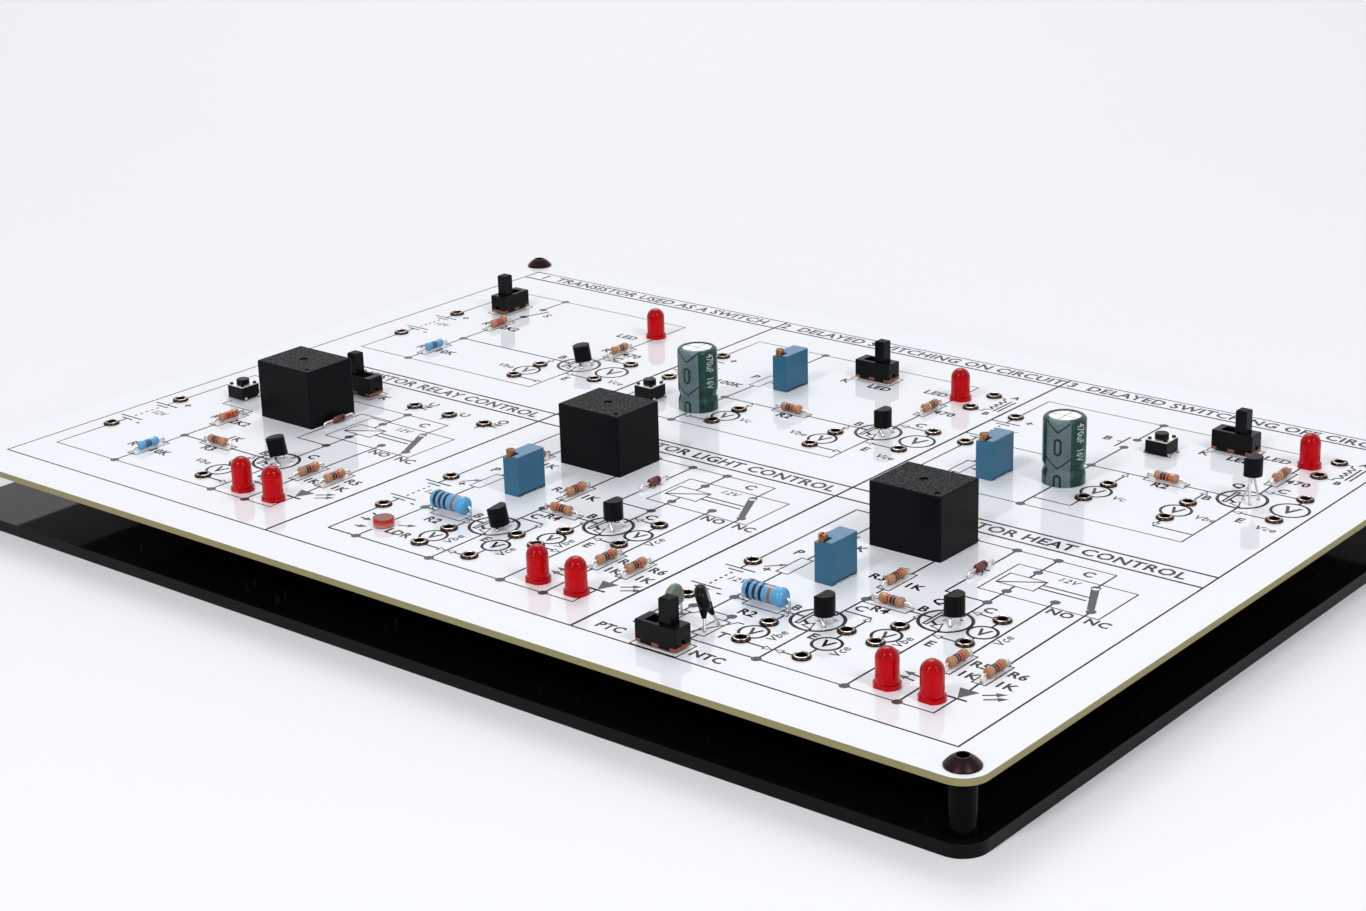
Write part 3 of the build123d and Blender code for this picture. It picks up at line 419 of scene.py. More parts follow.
def fromCapacitor(tree):
    # Offsets from the axis of the capacitor that the surface is on, its height, and a choice between the two
    along, up, height = objectPlace(tree)
    right = isOver(tree, along, capacitors["split"])

    def pick(first, second):
        return plus(tree, times(tree, right, second - first), first)

    axes = [(board["corner"][0] + x, board["corner"][1] + y) for x, y in capacitors["places"]]
    (x0, y0), (x1, y1) = axes
    return minus(tree, along, pick(x0, x1)), minus(tree, up, pick(y0, y1)), height, pick


def sleeveMaterial():
    # Green film with a grey band down one side, which carries arrows and minus signs in dark lines
    look = {
        "radius": 5.2,
        "turns": [-1.47, -1.34],           # where each band faces, in radians
        "halfWidth": 3.2,
        "halfPeriod": 4.55,
        "arrowTip": 30.4,
        "arrowRise": 0.8,
        "line": 0.26,
        "signShift": 3.7,
        "signHalf": 1.15,
        "signRadius": 0.75,
        "signLine": 0.29,
        "green": (0.002, 0.036, 0.025, 1),
        "grey": (0.052, 0.094, 0.103, 1),
        "worn": (0.16, 0.22, 0.23, 1),
        "dark": (0.003, 0.022, 0.018, 1),
    }
    material, tree, shader = blankMaterial("sleeveGreen", Specular_IOR_Level=0.3)
    away, side, height, pick = fromCapacitor(tree)
    angle = minus(tree, calc(tree, "ARCTAN2", side, away), pick(*look["turns"]))
    across = sizeOf(tree, times(tree, angle, look["radius"]))
    band = isUnder(tree, across, look["halfWidth"])
    lift = minus(tree, height, look["arrowTip"])
    step = calc(tree, "WRAP", lift, look["halfPeriod"], -look["halfPeriod"])
    slope = minus(tree, step, times(tree, across, look["arrowRise"]))
    arrowLine = isUnder(tree, sizeOf(tree, slope), look["line"])
    half = calc(tree, "WRAP", plus(tree, lift, look["signShift"]), look["halfPeriod"], -look["halfPeriod"])
    tall = calc(tree, "MAXIMUM", minus(tree, sizeOf(tree, half), look["signHalf"]), 0.0)
    rim = minus(tree, diagonal(tree, tall, across), look["signRadius"])
    signLine = isUnder(tree, sizeOf(tree, rim), look["signLine"])
    skin = useGroup(tree, mouldedSkin, Colour=look["grey"], Drift_Colour=look["worn"], Drift=1.0,
                    Grain_Scale=1800.0, Roughness=0.28, Roughness_Drift=0.2, Bump=0.06)
    drawn = calc(tree, "MAXIMUM", arrowLine, signLine)
    inBand = blendColours(tree, drawn, skin.outputs["Colour"], look["dark"])
    dress(tree, shader, skin, Colour=blendColours(tree, band, look["green"], inBand))
    return material


def canMaterial():
    # Bright drawn aluminium whose scored cross is painted dark as shade in its grooves
    look = {
        "bright": (0.88, 0.88, 0.87, 1), "dull": (0.72, 0.72, 0.71, 1), "scoreShade": (0.10, 0.12, 0.12, 1),
        "scoreHalf": 0.16, "scoreShadeShare": 0.8, "flat": 0.7,
    }
    material, tree, shader = blankMaterial("canAluminium", Metallic=1.0)
    metal = useGroup(tree, drawnMetal, Colour=look["bright"], Dull_Colour=look["dull"], Dulling=0.5,
                     Streaks=1500.0, Roughness=0.28, Roughness_Drift=0.12)
    away, side = fromCapacitor(tree)[:2]
    nearest = calc(tree, "MINIMUM", sizeOf(tree, away), sizeOf(tree, side))
    top = isOver(tree, facing(tree)[2], look["flat"])
    # the scored cross is painted shade
    scoreShadeMask = times(tree, isUnder(tree, nearest, look["scoreHalf"]), top)
    dress(tree, shader, metal, Colour=blendColours(
        tree, times(tree, scoreShadeMask, look["scoreShadeShare"]), metal.outputs["Colour"], look["scoreShade"]))
    return material


def eyeletMaterial():
    # Nickel lip with dark spots painted in as shade in its creases, whose brim against the board is painted dark
    # brown as a painted dark reflection
    look = {
        "nickel": (0.86, 0.80, 0.70, 1), "dull": (0.46, 0.37, 0.28, 1), "paintedDarkBrim": (0.045, 0.026, 0.020, 1),
        "paintedCreaseShade": (0.11, 0.075, 0.055, 1), "creases": 1300.0, "creaseCut": 0.53, "creaseShadeShare": 0.85,
        "brim": (0.63, 0.70),              # heights over the board between which the painted dark brim ends, in mm
    }
    material, tree, shader = blankMaterial("eyeletMetal", Metallic=1.0)
    metal = useGroup(tree, drawnMetal, Colour=look["nickel"], Dull_Colour=look["dull"], Dulling=0.9,
                     Streaks=1500.0, Roughness=0.10, Roughness_Drift=0.1)
    # the brim is painted dark brown as a painted dark reflection
    low = ramp(tree, objectPlace(tree, z=board["top"])[2], *look["brim"])
    # dark spots on the lip are painted shade in its creases
    creaseShadeMask = isOver(tree, placeNoise(tree, look["creases"], 2.0), look["creaseCut"])
    lip = blendColours(tree, times(tree, creaseShadeMask, look["creaseShadeShare"]), metal.outputs["Colour"],
                       look["paintedCreaseShade"])
    dress(tree, shader, metal, Colour=blendColours(tree, low, look["paintedDarkBrim"], lip))
    return material


def trimmerMaterial():
    # Blue nylon, its top faces painted paler as painted light, with a dark band low on its long sides painted as
    # shade in the gap beneath
    look = {
        "blue": (0.032, 0.148, 0.255, 1), "drift": (0.022, 0.105, 0.195, 1),
        "top": (0.125, 0.245, 0.40, 1), "paintedLightTopShare": 0.75, "flat": 0.9,
        "joint": (0.006, 0.010, 0.014, 1), "gapShadeHeight": 0.52, "gapShadeHalf": 0.14, "sideways": 0.8,
    }
    material, tree, shader = blankMaterial("trimmerBlue", Specular_IOR_Level=0.3)
    skin = useGroup(tree, mouldedSkin, Colour=look["blue"], Drift_Colour=look["drift"], Drift=0.9,
                    Grain_Scale=1600.0, Roughness=0.38, Roughness_Drift=0.12, Bump=0.07)
    sideways, _, up = facing(tree)
    # top faces are painted paler as painted light
    paintedLightTop = times(tree, isOver(tree, up, look["flat"]), look["paintedLightTopShare"])
    colour = blendColours(tree, paintedLightTop, skin.outputs["Colour"], look["top"])
    # the dark band low on the long sides is painted shade in the gap under the walls
    height = minus(tree, objectPlace(tree, z=board["top"])[2], look["gapShadeHeight"])
    joint = times(tree, isOver(tree, sizeOf(tree, sideways), look["sideways"]),
                  isUnder(tree, sizeOf(tree, height), look["gapShadeHalf"]))
    dress(tree, shader, skin, Colour=blendColours(tree, joint, colour, look["joint"]))
    return material


def sensorMaterial():
    # Coated cell: red rim painted paler low down as painted glow, ceramic top with its track winding to and fro
    look = {
        "x": -26.55, "y": -82.8, "face": 2.05, "flat": 0.7,
        "pitch": 0.62, "trackShare": 0.22, "swing": 1.55,
        "ahead": 20.0,                     # keeps the count of the windings above zero
        "paintedGlowTop": 1.5, "paintedGlowRate": 0.55,
        "red": (0.36, 0.006, 0.006, 1), "drift": (0.50, 0.03, 0.02, 1), "paintedGlow": (0.72, 0.33, 0.31, 1),
        "ceramic": (0.17, 0.12, 0.10, 1), "track": (0.24, 0.05, 0.04, 1),
    }
    material, tree, shader = blankMaterial("sensorRed", Specular_IOR_Level=0.3)
    skin = useGroup(tree, mouldedSkin, Colour=look["red"], Drift_Colour=look["drift"], Drift=0.7,
                    Grain_Scale=700.0, Roughness=0.08, Roughness_Drift=0.05, Bump=0.03)
    across, along, height = objectPlace(tree, look["x"], look["y"], board["top"])
    # the rim is painted paler low down as painted glow
    paintedGlowShare = clamped(tree, times(tree, minus(tree, look["paintedGlowTop"], height), look["paintedGlowRate"]))
    rim = blendColours(tree, paintedGlowShare, skin.outputs["Colour"], look["paintedGlow"])
    wave = calc(tree, "PINGPONG", plus(tree, along, look["ahead"]), 0.5 * look["pitch"])
    track = times(tree, isUnder(tree, wave, look["trackShare"] * look["pitch"]),
                  isUnder(tree, sizeOf(tree, across), look["swing"]))
    disc = times(tree, isUnder(tree, diagonal(tree, across, along), look["face"]),
                 isOver(tree, facing(tree)[2], look["flat"]))
    face = blendColours(tree, track, look["ceramic"], look["track"])
    dress(tree, shader, skin, Colour=blendColours(tree, disc, rim, face))
    return material


def lensMaterial():
    # Clear red epoxy, its dome painted darker as painted shade, with darker streaks painted down the sides as
    # shade
    look = {
        "body": (0.56, 0.002, 0.006, 1), "paintedShadeDome": (0.32, 0.001, 0.002, 1), "paintedShadeDomeFrom": (0.02, 0.35),
        "paintedShadeStreak": (0.38, 0.001, 0.003, 1), "streaks": 900.0, "stretch": (1.0, 1.0, 0.06), "paintedShadeStreakShare": 0.7,
        "tint": (1.0, 0.15, 0.17, 1),
    }
    material, tree, shader = blankMaterial("ledRed", Specular_IOR_Level=0.5, Specular_Tint=look["tint"])
    skin = useGroup(tree, mouldedSkin, Colour=look["body"], Drift_Colour=look["paintedShadeStreak"], Drift=0.4,
                    Grain_Scale=1200.0, Roughness=0.04, Roughness_Drift=0.01, Bump=0.003)
    # darker streaks down the sides are painted shade
    streaks = placeNoise(tree, look["streaks"], 2.0, look["stretch"])
    body = blendColours(tree, times(tree, streaks, look["paintedShadeStreakShare"]), skin.outputs["Colour"],
                        look["paintedShadeStreak"])
    # the dome is painted darker as painted shade
    paintedShadeDome = ramp(tree, facing(tree)[2], *look["paintedShadeDomeFrom"])
    dress(tree, shader, skin, Colour=blendColours(tree, paintedShadeDome, body, look["paintedShadeDome"]))
    return material


finishes = {
    "board_white": boardMaterial(),
    "black_acrylic": acrylicMaterial(),
    "relay_black": relayMaterial(),
    "sleeve_green": sleeveMaterial(),
    "eyelet_metal": eyeletMaterial(),
    "trimmer_blue": trimmerMaterial(),
    "black_post": mouldedMaterial("blackPost", (0.0018, 0.0014, 0.0014), roughness=0.10, bump=0.02,
                                  Specular_IOR_Level=0.05),
    "black_screw": metalMaterial("blackScrew", (0.026, 0.013, 0.014), (0.012, 0.008, 0.009), 0.24),
    "tinned": metalMaterial("tinnedWire", (0.78, 0.76, 0.74), (0.45, 0.42, 0.40), 0.16, dulling=0.6),
    "copper": metalMaterial("copperWinding", (0.62, 0.26, 0.12), (0.35, 0.13, 0.06), 0.25, 3000.0),
    "iron": metalMaterial("platedIron", (0.55, 0.55, 0.54), (0.38, 0.38, 0.37), 0.3),
    "black_plastic": mouldedMaterial("blackPlastic", (0.0032, 0.0032, 0.0036), (0.0055, 0.0055, 0.0062),
                                     roughness=0.22, bump=0.08, Specular_IOR_Level=0.10),
    "switch_base": mouldedMaterial("switchBase", (0.30, 0.105, 0.050), (0.16, 0.040, 0.018), roughness=0.42,
                                   Specular_IOR_Level=0.3),
    "steel_cover": metalMaterial("steelCover", (0.90, 0.89, 0.88), (0.74, 0.73, 0.72), 0.24),
    "can_aluminium": canMaterial(),
    "foil": metalMaterial("rolledFoil", (0.6, 0.6, 0.58), (0.4, 0.4, 0.38), 0.35, 4000.0),
    "seal_rubber": mouldedMaterial("sealRubber", (0.02, 0.02, 0.02), roughness=0.7, bump=0.2),
    "led_red": lensMaterial(),
    "case_black": mouldedMaterial("caseBlack", (0.0028, 0.0028, 0.0032), (0.0048, 0.0048, 0.0056), roughness=0.30,
                                  bump=0.15, Specular_IOR_Level=0.08),
    "resistor_tan": mouldedMaterial("resistorTan", (0.43, 0.20, 0.105), (0.33, 0.14, 0.07), roughness=0.2,
                                    grain=1400.0, bump=0.04, Specular_IOR_Level=0.4),
    "resistor_blue": mouldedMaterial("resistorBlue", (0.095, 0.37, 0.66), (0.065, 0.29, 0.56), roughness=0.16,
                                     grain=1400.0, bump=0.03, Specular_IOR_Level=0.4),
    "diode_glass": mouldedMaterial("diodeGlass", (0.13, 0.004, 0.004), (0.06, 0.002, 0.002), roughness=0.06,
                                   bump=0.02, Specular_IOR_Level=0.5),
    "sensor_red": sensorMaterial(),
    "ptc_green": mouldedMaterial("ptcGreen", (0.150, 0.205, 0.135), (0.10, 0.145, 0.095), roughness=0.26,
                                 Specular_IOR_Level=0.4),
    "ntc_black": mouldedMaterial("ntcBlack", (0.004, 0.004, 0.004), (0.007, 0.008, 0.008), roughness=0.16,
                                 bump=0.06, Specular_IOR_Level=0.08),
    "bobbin_white": mouldedMaterial("bobbinWhite", (0.78, 0.76, 0.70), roughness=0.4),
    "brass_screw": metalMaterial("brassScrew", (0.55, 0.25, 0.10), (0.16, 0.06, 0.025), 0.2, dulling=0.9),
}
slotOf = {part["node"]: part["material_slot"] for part in frame["record"]["subparts"]}
for name, node in nodes.items():
    node.data.materials.clear()
    node.data.materials.append(finishes[slotOf[name]])
print("finishes on", len(nodes), "parts")


# Printed circuit drawings
ink = {
    "lift": 0.012,           # how far the ink stands on the board, in mm
    "thin": 0.53,
    "frame": 0.69,
    "bold": 0.80,
    "dot": 1.15,
    "letter": 2.75,
    "title": 3.7,
    "fullSize": 1.42,        # a font's size over the height of its capitals
    "lean": 0.18,
    "thinOffset": 0.03,
    "heavyOffset": 0.12,
    "spacing": 1.05,
    "letterLift": 0.9,       # shares of the lift
    "flatten": 0.05,
    "colour": (0.007, 0.007, 0.008),
    "colourDrift": (0.018, 0.018, 0.021),
    "grey": (0.060, 0.060, 0.066),
    "greyDrift": (0.080, 0.080, 0.086),
}
strokes = {"thin": [], "frame": [], "bold": []}
closedStrokes = {"thin": [], "frame": [], "bold": []}
fills = []
letters = []


def line(*points, weight="thin"):
    strokes[weight].append(points)


def loop(*points, weight="thin"):
    closedStrokes[weight].append(points)


def box(x0, y0, x1, y1, weight="thin"):
    loop((x0, y0), (x1, y0), (x1, y1), (x0, y1), weight=weight)


def ringPoints(x, y, radius, count=36):
    steps = [2 * math.pi * i / count for i in range(count)]
    return [(x + radius * math.cos(a), y + radius * math.sin(a)) for a in steps]


def ring(x, y, radius, weight="thin"):
    loop(*ringPoints(x, y, radius), weight=weight)


def dot(*places):
    for x, y in places:
        fills.append(ringPoints(x, y, ink["dot"], 20))


def word(text, x, y, size=None, turn=0.0, thin=False):
    letters.append((text, x, y, size or ink["letter"], turn, thin))


def words(*labels, **style):
    for text, x, y in labels:
        word(text, x, y, **style)


def towards(start, end):
    gap = Vector(end) - Vector(start)
    return gap.length, gap.normalized()


def arrow(start, tip, size=1.9, filled=False):
    # A line that ends in a triangle with its point at the tip
    length, way = towards(start, tip)
    across = Vector((-way.y, way.x)) * 0.42 * size
    back = Vector(tip) - way * size
    corners = [tuple(tip), tuple(back + across), tuple(back - across)]
    if filled:
        fills.append(corners)
    else:
        loop(*corners)
    line(tuple(start), tuple(back))


def probe(eyelet, tip):
    # Lead from a test point to the wire that it measures
    length, way = towards(eyelet, tip)
    arrow(tuple(Vector(eyelet) + way * 1.9), tip)


def meter(x, y, radius, ends):
    ring(x, y, radius, "frame")
    word("V", x, y - 0.5 * radius, 1.05 * radius)
    for end in ends:
        length, way = towards(end, (x, y))
        if length - radius - 1.9 > 0.15:
            line(tuple(Vector(end) + way * 1.9), tuple(Vector((x, y)) - way * radius))


def measure(x, y, radius, *leads, wired=False):
    # A meter and the leads of its test points, wired to them where they lie apart
    for eyelet, tip in leads:
        probe(eyelet, tip)
    meter(x, y, radius, [eyelet for eyelet, tip in leads] if wired else [])


def supply(x, low, high):
    # Battery sign between two supply eyelets
    base = low + 0.22 * (high - low)
    for rise, half in ((0.0, 2.1), (1.5, 4.2), (12.0, 2.1), (13.5, 4.2)):
        line((x - half, base + rise), (x + half, base + rise))
    for i in range(5):
        line((x, base + 2.6 + 1.8 * i), (x, base + 3.5 + 1.8 * i))
    line((x, low + 1.9), (x, base))
    line((x, base + 13.5), (x, high - 1.9))
    word("12V", x + 3.6, base + 6.8, 2.2, thin=True)
    word("+", x + 5.2, base + 15.0, 2.8)
    word("-", x + 5.2, base - 1.6, 2.8)


def transistorSign(x, y):
    # Symbol with its base bar on the left, collector up and emitter down
    ring(x, y, 5.8, "bold")
    box(x - 3.3, y - 3.6, x - 2.4, y + 3.6, "frame")
    line((x - 5.8, y), (x - 3.3, y), weight="frame")
    line((x - 2.4, y + 1.6), (x + 1.6, y + 4.2), (x + 1.6, y + 5.8), weight="frame")
    line((x - 2.4, y - 1.6), (x - 0.5, y - 2.8), weight="bold")
    loop((x + 1.4, y - 4.6), (x - 1.3, y - 3.8), (x + 0.4, y - 1.6), weight="frame")
    line((x + 1.5, y - 4.5), (x + 1.6, y - 5.8), weight="frame")


def resistorSign(x, y, upright, first=None, second=None, length=10.8, width=3.2):
    # Outline under the part, with its name on one side and its value on the other
    half, side = length / 2, width / 2
    if upright:
        box(x - side, y - half, x + side, y + half)
    else:
        box(x - half, y - side, x + half, y + side)
    for text, offset in ((first, -1), (second, 1)):
        if text:
            if upright:
                word(text, x + 4.6 * offset, y - 1.6)
            else:
                word(text, x, y + 4.4 * offset)


def relaySign(x, y):
    # Coil box with its slash, linked to the changeover blade; x, y is the outline's lower left corner
    box(x, y, x + 29.9, y + 16.6)
    box(x + 1.3, y + 5.3, x + 10.7, y + 11.2)
    line((x + 1.3, y + 5.3), (x + 10.7, y + 11.2))
    for rise in (7.3, 9.2):
        line((x + 10.7, y + rise), (x + 22.6, y + rise))
    fills.append([(x + 20.0, y + 14.1), (x + 21.5, y + 14.7), (x + 26.6, y + 4.0), (x + 25.1, y + 3.3)])
    dot((x + 20.8, y + 14.4), (x + 26.5, y + 2.7), (x + 17.8, y + 2.7))
    word("C", x + 15.6, y + 18.9)
    word("NO", x + 21.8, y - 3.2)
    word("NC", x + 30.8, y - 3.2)
    word("12V", x + 14.0, y + 13.2, 2.2, thin=True)


def ledSign(x, y):
    # Filled triangle pointing down to its bar, with two rays
    fills.append([(x - 2.3, y + 4.5), (x + 2.3, y + 4.5), (x, y)])
    line((x - 2.3, y - 0.2), (x + 2.3, y - 0.2), weight="frame")
    for right, drop in ((0.0, 0.0), (1.3, 1.6)):
        arrow((x + 3.2 + right, y + 3.9 - drop), (x + 7.2 + right, y + 6.9 - drop), 2.2, True)


def raysSign(x, y):
    for rise in (0.0, 2.2):
        arrow((x + 3.0, y + rise), (x - 1.2, y + 0.6 + rise), 2.2, True)


def coilSign(x, y):
    # Iron cored coil between two eyelets at x
    line((x + 1.9, y + 5.7), (x + 3.6, y + 5.7), (x + 3.6, y + 4.6))
    line((x + 1.9, y - 5.7), (x + 3.6, y - 5.7), (x + 3.6, y - 4.2))
    for i in range(4):
        bow = [(x + 3.6 + 1.5 * math.sin(math.pi * t / 6), y + 4.6 - 2.2 * i - 2.2 * t / 6) for t in range(7)]
        line(*bow)
    for bar in (6.2, 7.4):
        line((x + bar, y - 4.4), (x + bar, y + 4.6))
    word("A", x + 5.6, y + 6.6, 2.2)
    word("B", x + 5.6, y - 8.2, 2.2)


def switchOutline(x, y, upright=False):
    # Footprint round a slide switch
    half, side = (3.4, 6.2) if upright else (6.2, 3.4)
    box(x - half, y - side, x + half, y + side)


# Outer frame, dividers and title strips
box(-0.7, 0.0, 289.3, 202.0, "frame")
for x in (96.8, 192.0):
    line((x, 0.0), (x, 202.0), weight="frame")
for y in (94.7, 101.7, 195.7):
    line((-0.7, y), (289.3, y), weight="frame")
words(("1  TRANSISTOR USED AS A SWITCH", 48.0, 197.1), ("2  DELAYED SWITCHING ON CIRCUIT", 144.5, 197.1),
      ("3  DELAYED SWITCHING OFF CIRCUIT", 240.6, 197.1), ("4  TRANSISTOR RELAY CONTROL", 52.0, 96.4),
      ("5  TRANSISTOR LIGHT CONTROL", 148.0, 96.4),
      ("6  TRANSISTOR HEAT CONTROL", 243.0, 96.4), size=ink["title"])

for x, y, upright in ((20.5, 166.25, True), (148.6, 173.6, False), (254.0, 176.6, False), (41.3, 85.1, False),
                      (214.2, 3.8, False)):
    switchOutline(x, y, upright)

# Circuit 1: transistor as a switch
supply(10.2, 130.8, 154.0)
line((10.2, 128.9), (10.2, 114.7), (75.2, 114.7), (75.2, 131.2))
line((10.2, 155.9), (10.2, 181.6), (75.2, 181.6), (75.2, 157.4))
line((28.8, 181.6), (28.8, 171.5))
line((28.8, 163.0), (31.6, 170.8), weight="frame")
line((28.8, 163.0), (28.8, 157.4))
line((29.0, 146.6), (29.0, 130.3))
line((29.0, 119.5), (29.0, 114.7))
line((29.0, 137.1), (67.7, 137.1))
line((75.1, 142.8), (75.1, 146.6))
resistorSign(29.0, 152.0, True, "R", "2K2")
resistorSign(29.3, 124.9, True, "R", "10K")
resistorSign(75.5, 152.0, True, "R", "470")
dot((28.8, 181.6), (28.8, 171.5), (28.8, 163.0), (29.0, 137.1), (29.0, 114.7))
word("S", 34.0, 166.3)
transistorSign(73.5, 137.0)
measure(85.5, 137.0, 4.4, ((85.6, 145.0), (75.6, 145.0)), ((85.8, 129.3), (75.6, 129.3)), wired=True)
measure(64.6, 125.3, 3.6, ((64.6, 130.8), (64.6, 136.8)), ((64.9, 119.8), (74.9, 119.8)))
words(("Vce", 92.2, 129.5), ("Vbe", 57.0, 124.0), size=2.4, thin=True)
words(("B", 65.0, 138.6), ("C", 79.0, 145.6), ("E", 78.4, 124.4), ("LED", 67.5, 163.5))

# Circuit 2: on delay
supply(101.6, 142.6, 165.5)
line((101.6, 167.4), (101.6, 182.7), (175.2, 182.7), (175.2, 165.4))
line((124.7, 182.7), (124.7, 160.0))
box(123.2, 150.0, 126.3, 159.4)
arrow((129.6, 154.8), (126.6, 154.8), 1.8, True)
line((124.7, 150.0), (124.2, 115.7))
line((101.6, 140.7), (101.6, 115.7), (175.2, 115.7), (175.2, 132.2))
line((124.2, 138.0), (141.1, 138.0))
line((151.9, 138.0), (168.2, 138.0))
resistorSign(146.5, 138.0, False, "R2")
resistorSign(174.9, 160.0, True, None, "470")
line((175.1, 143.8), (175.1, 154.6))
dot((124.7, 182.7), (124.2, 138.0), (124.2, 115.7))
transistorSign(174.0, 138.0)
coilSign(182.5, 173.1)
measure(186.0, 137.8, 4.4, ((185.6, 145.6), (175.8, 145.6)), ((185.8, 130.0), (175.8, 130.0)), wired=True)
measure(165.2, 126.0, 3.6, ((165.2, 131.6), (165.2, 137.7)), ((165.3, 120.5), (174.9, 120.5)))
measure(134.0, 126.0, 3.6, ((134.1, 131.6), (134.1, 137.7)), ((133.8, 120.6), (124.5, 120.6)))
words(("Vce", 186.0, 122.6), ("Vbe", 157.6, 124.8), ("Vc", 140.4, 124.8), size=2.4, thin=True)
words(("B", 166.2, 139.2), ("C", 179.8, 147.2), ("E", 178.6, 124.4), ("P", 120.4, 155.2),
      ("100K", 117.6, 146.6), ("LED", 153.5, 166.4), ("K", 142.4, 166.4), ("LED", 168.6, 171.0))

# Circuit 3: off delay
supply(196.5, 144.0, 167.2)
line((196.5, 169.1), (196.5, 183.4), (272.4, 183.4), (272.4, 170.2))
line((230.3, 183.4), (230.3, 170.0))
line((227.9, 163.0), (227.9, 171.0))
line((226.4, 167.0), (227.9, 167.0))
line((230.3, 163.5), (230.3, 115.6))
line((196.5, 142.1), (196.5, 115.6), (272.6, 115.6), (272.6, 141.7))
box(204.0, 125.0, 207.2, 133.5)
arrow((210.4, 129.2), (207.4, 129.2), 1.8, True)
line((205.6, 133.5), (205.6, 147.7), (245.5, 147.7))
line((205.6, 125.0), (205.6, 115.6))
line((256.3, 147.7), (265.2, 147.7))
resistorSign(250.9, 147.8, False, "R2")
resistorSign(272.1, 164.8, True, None, "470")
line((272.6, 153.3), (272.4, 159.4))
dot((230.3, 183.4), (230.3, 170.0), (230.3, 163.5), (230.3, 147.7), (230.3, 115.6), (205.6, 115.6))
transistorSign(271.0, 147.5)
coilSign(278.5, 177.1)
measure(283.3, 147.3, 4.4, ((283.2, 155.2), (272.9, 155.2)), ((283.3, 139.3), (272.9, 139.3)), wired=True)
probe((262.0, 138.0), (262.0, 147.4))
probe((262.3, 126.6), (262.3, 120.9))
line((262.3, 120.9), (272.3, 120.9))
meter(262.0, 132.3, 3.6, [])
probe((240.8, 138.0), (240.8, 147.4))
line((240.5, 125.0), (240.5, 121.0), (230.5, 121.0))
meter(240.7, 132.5, 3.6, [])
words(("Vce", 284.0, 132.4), ("Vbe", 270.0, 130.2), ("Vc", 247.4, 130.2), size=2.4, thin=True)
words(("B", 263.8, 142.4), ("C", 276.4, 156.4), ("E", 276.8, 133.8), ("Q", 266.0, 154.0), ("B", 223.4, 166.2),
      ("K", 248.4, 169.8), ("LED", 258.2, 169.8), ("LED", 265.4, 175.2))

# Circuit 4: relay control
supply(5.2, 28.8, 52.2)
line((5.2, 26.9), (5.2, 11.0), (86.2, 11.0), (86.2, 18.8))
line((5.2, 54.1), (5.2, 78.7), (79.6, 78.7), (79.6, 69.4))
line((16.8, 78.7), (16.8, 69.0))
line((16.8, 60.0), (16.8, 57.0), (28.5, 57.0), (28.5, 54.3))
line((28.5, 43.5), (28.5, 27.3))
line((28.5, 16.5), (28.5, 11.0))
line((28.5, 33.8), (36.2, 33.8))
line((47.0, 33.8), (57.9, 33.8))
resistorSign(28.5, 48.9, True, "R", "2K2")
resistorSign(28.5, 21.9, True, None, "10K")
resistorSign(41.6, 33.8, False, "R3", "1K")
dot((28.5, 33.8), (28.5, 11.0), (65.2, 11.0), (77.4, 11.0), (64.9, 49.5), (64.9, 57.5), (64.9, 69.6), (64.9, 78.7))
transistorSign(63.5, 33.8)
line((65.1, 28.0), (65.1, 11.0))
line((65.1, 39.6), (65.1, 60.2))
line((65.1, 66.3), (65.1, 78.7))
line((54.2, 58.9), (54.2, 49.5), (64.9, 49.5))
line((54.2, 69.3), (54.2, 72.4), (64.9, 72.4))
relaySign(58.8, 55.0)
line((76.6, 57.7), (76.6, 37.9))
line((85.3, 57.7), (85.3, 38.1))
resistorSign(76.8, 32.5, True, length=10.6)
resistorSign(85.8, 32.7, True, length=10.6)
line((76.8, 27.2), (77.2, 11.0))
line((86.0, 27.4), (86.2, 23.4))
ledSign(86.2, 19.0)
raysSign(70.4, 20.4)
measure(56.2, 21.7, 3.4, ((56.2, 16.2), (64.9, 16.2)), ((56.2, 27.3), (56.2, 33.5)))
word("Vbe", 48.0, 22.2, 2.4, thin=True)
for x, text in ((61.5, "NC"), (74.3, "C"), (86.8, "NO")):
    word(text, x + 4.4, 87.2, turn=90)
    line((x, 82.9), (x, 81.0))
words(("B", 56.2, 35.2), ("C", 68.6, 40.2), ("E", 68.4, 23.6), ("K", 49.6, 84.0), ("R", 22.6, 20.6),
      ("1K", 81.2, 28.0), ("R5", 90.6, 33.0), ("1K", 90.8, 28.0))


